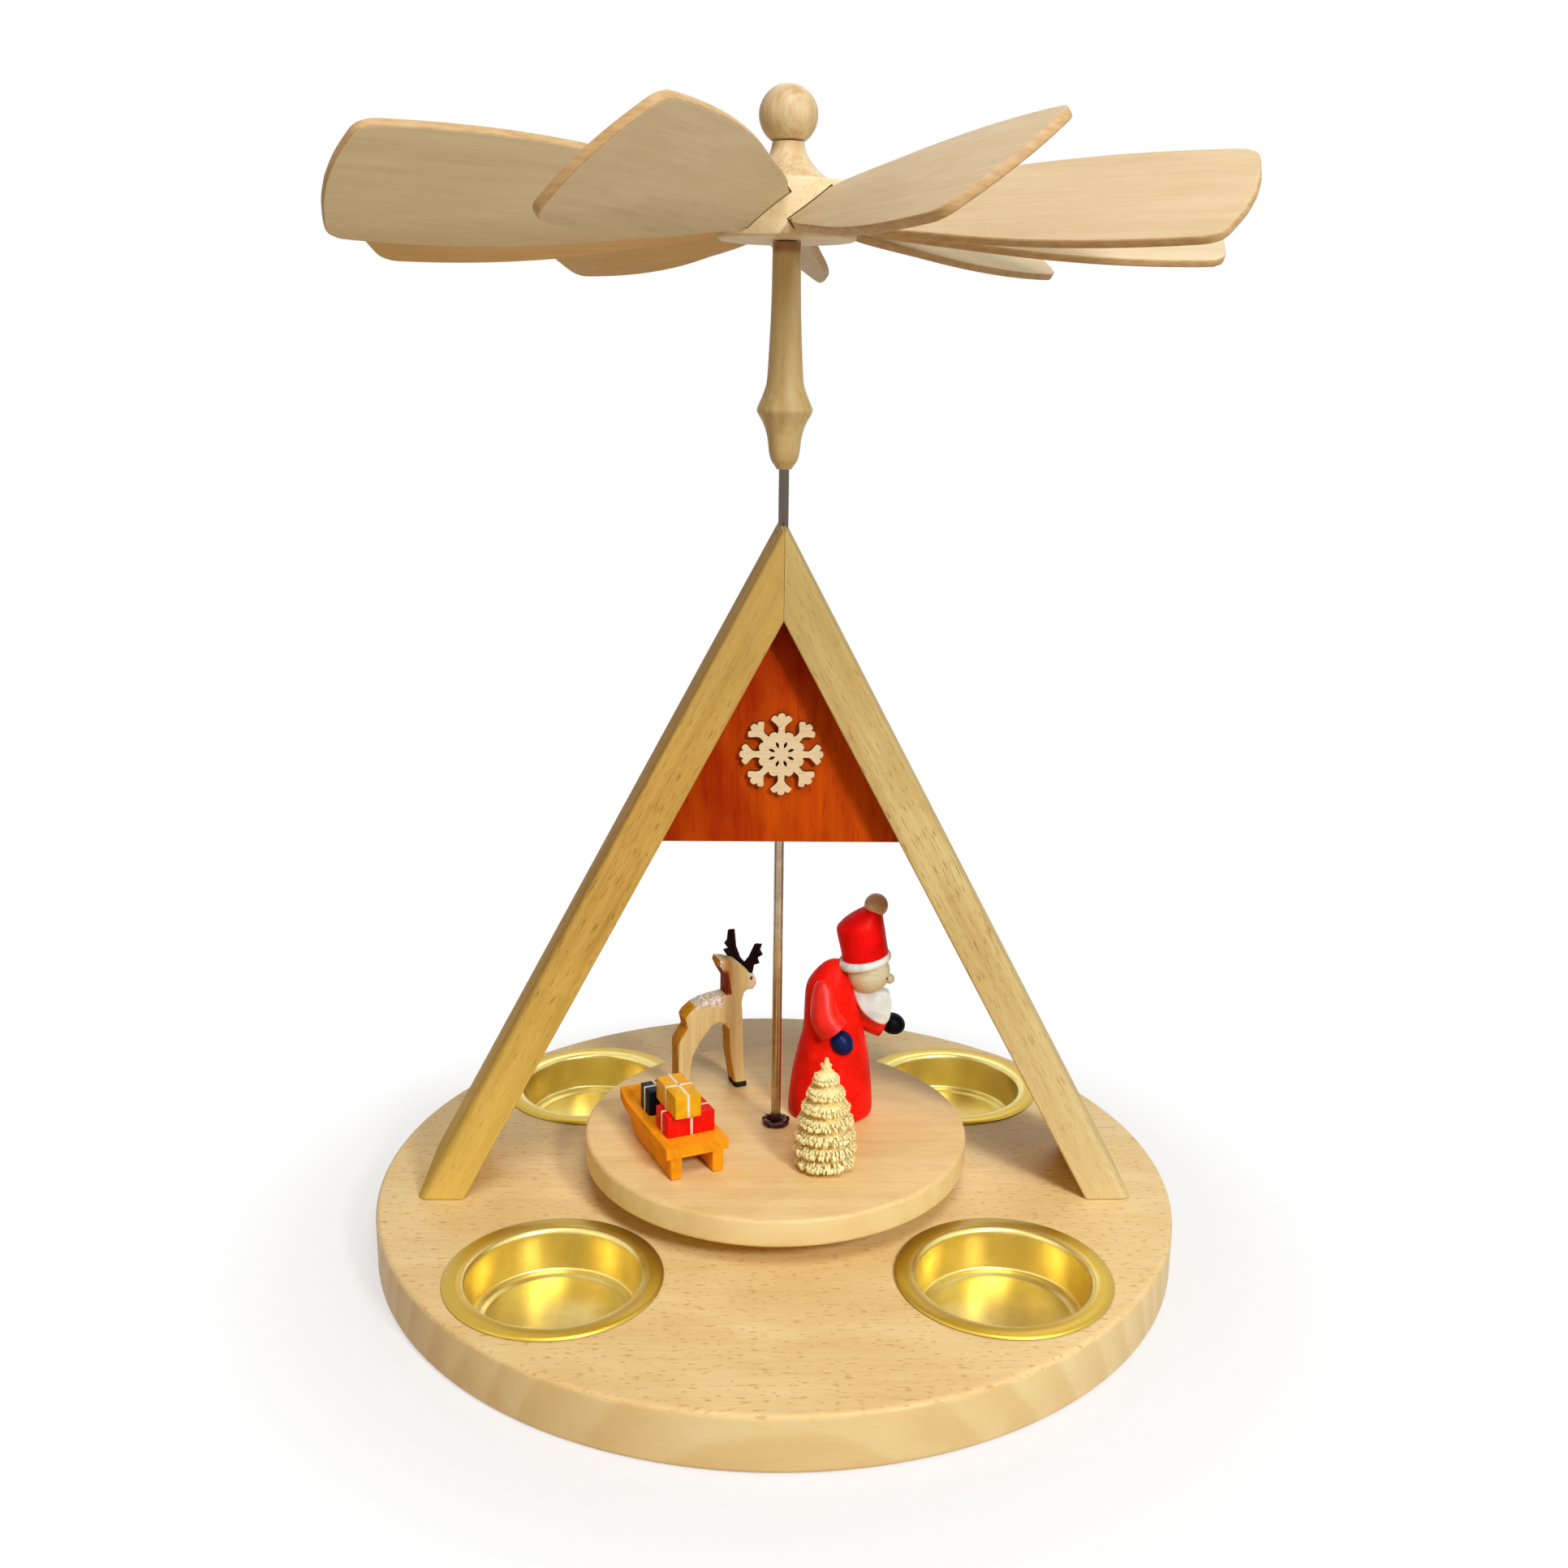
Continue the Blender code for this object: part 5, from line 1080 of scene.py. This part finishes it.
def build_stage():
    bm = bmesh.new()
    bmesh.ops.create_circle(bm, cap_ends=True, segments=64, radius=3.0)
    floor = new_object("floor", bm)
    floor.location = (0, 0, -0.00005)
    material = bpy.data.materials.new("floor_white")
    material.use_nodes = True
    tree = material.node_tree
    tree.nodes.clear()
    direct, camera = direct_rays(tree)
    shade = add_node(tree, "ShaderNodeMix", {"Factor": camera, "A": (0.62, 0.5, 0.36, 1),
                                             "B": (0.86, 0.86, 0.86, 1)}, data_type='RGBA')
    diffuse = add_node(tree, "ShaderNodeBsdfDiffuse", {"Color": shade.outputs["Result"]})
    glow = add_node(tree, "ShaderNodeEmission", {"Strength": 1.0})
    place = add_node(tree, "ShaderNodeTexCoord").outputs["Object"]
    length = add_node(tree, "ShaderNodeVectorMath", {0: place}, operation='LENGTH')
    away = add_node(tree, "ShaderNodeMapRange", {
        "Value": length.outputs["Value"], "From Min": 0.102, "From Max": 0.14, "To Min": 0.62})
    share = add_node(tree, "ShaderNodeMath", {0: direct, 1: away.outputs["Result"]},
                     operation='MULTIPLY')
    both = add_node(tree, "ShaderNodeMixShader", {
        "Fac": share.outputs["Value"], 1: diffuse.outputs["BSDF"], 2: glow.outputs["Emission"]})
    add_node(tree, "ShaderNodeOutputMaterial", {"Surface": both.outputs["Shader"]})
    floor.data.materials.append(material)


def build_world():
    world = bpy.data.worlds.new("studio")
    bpy.context.scene.world = world
    world.use_nodes = True
    tree = world.node_tree
    background = tree.nodes["Background"]
    direct = direct_rays(tree)[0]
    level = add_node(tree, "ShaderNodeMapRange", {"Value": direct, "To Min": 0.06})
    tint = add_node(tree, "ShaderNodeMix", {"Factor": direct, "A": (1.0, 0.78, 0.54, 1),
                                            "B": (1, 1, 1, 1)}, data_type='RGBA')
    feed(tree, background.inputs["Strength"], level.outputs["Result"])
    feed(tree, background.inputs["Color"], tint.outputs["Result"])


def area_light(name, bearing, elevation, size, power, colour):
    """A soft light; its bearing in degrees is counted from the front towards the right."""
    lamp = bpy.data.lights.new(name, 'AREA')
    lamp.shape = 'SQUARE'
    lamp.size = size
    lamp.energy = power
    lamp.color = colour
    item = bpy.data.objects.new(name, lamp)
    turn, up = math.radians(bearing), math.radians(elevation)
    direction = Vector((math.sin(turn) * math.cos(up), -math.cos(turn) * math.cos(up),
                        math.sin(up)))
    item.location = direction * 1.1 + Vector((0, 0, 0.1))
    item.rotation_euler = direction.to_track_quat('Z', 'Y').to_euler()
    bpy.context.scene.collection.objects.link(item)


def build_lights():
    area_light("key", 10, 58, 0.42, 5.6, (1.0, 0.98, 0.94))
    area_light("front_low", 30, 30, 0.16, 6.8, (1.0, 0.99, 0.97))
    area_light("right_fill", 75, 26, 0.6, 0.5, (0.94, 0.98, 1.0))
    area_light("rear_fill", 170, 48, 0.6, 1.6, (1.0, 0.95, 0.86))
    area_light("left_fill", -55, 30, 0.6, 1.3, (1.0, 0.68, 0.34))


def build_camera():
    yaw, pitch, roll = 0.0282, 0.2546, 0.0136
    forward = Vector((math.sin(yaw) * math.cos(pitch), math.cos(yaw) * math.cos(pitch),
                      -math.sin(pitch)))
    right = Vector((math.cos(yaw), -math.sin(yaw), 0))
    up = right.cross(forward)
    turned_right = right * math.cos(roll) + up * math.sin(roll)
    turned_up = -right * math.sin(roll) + up * math.cos(roll)
    matrix = Matrix((turned_right, turned_up, -forward)).transposed().to_4x4()
    matrix.translation = (-0.0094982, -0.3712976, 0.2132307)
    data = bpy.data.cameras.new("camera")
    data.sensor_width = 36
    data.lens = 1955.09 / IMAGE * 36
    data.clip_start = 0.01
    camera = bpy.data.objects.new("camera", data)
    camera.matrix_world = matrix
    bpy.context.scene.collection.objects.link(camera)
    bpy.context.scene.camera = camera
    bpy.context.scene.view_settings.view_transform = 'Standard'


eye_ink = Look("eye_ink", 0.35, coat=0.3)
eye_ink.speckle((2500, 2500, 2500), 1.0, (12, 6, 3), (34, 20, 10))

build_camera()
build_base()
build_cups()
build_legs()
build_gable()
build_shaft()
build_turntable()
build_wheel()
build_giver(eye_ink)
build_deer(eye_ink)
build_tree()
build_sled()
dress_hidden_metal()
build_stage()
build_world()
build_lights()
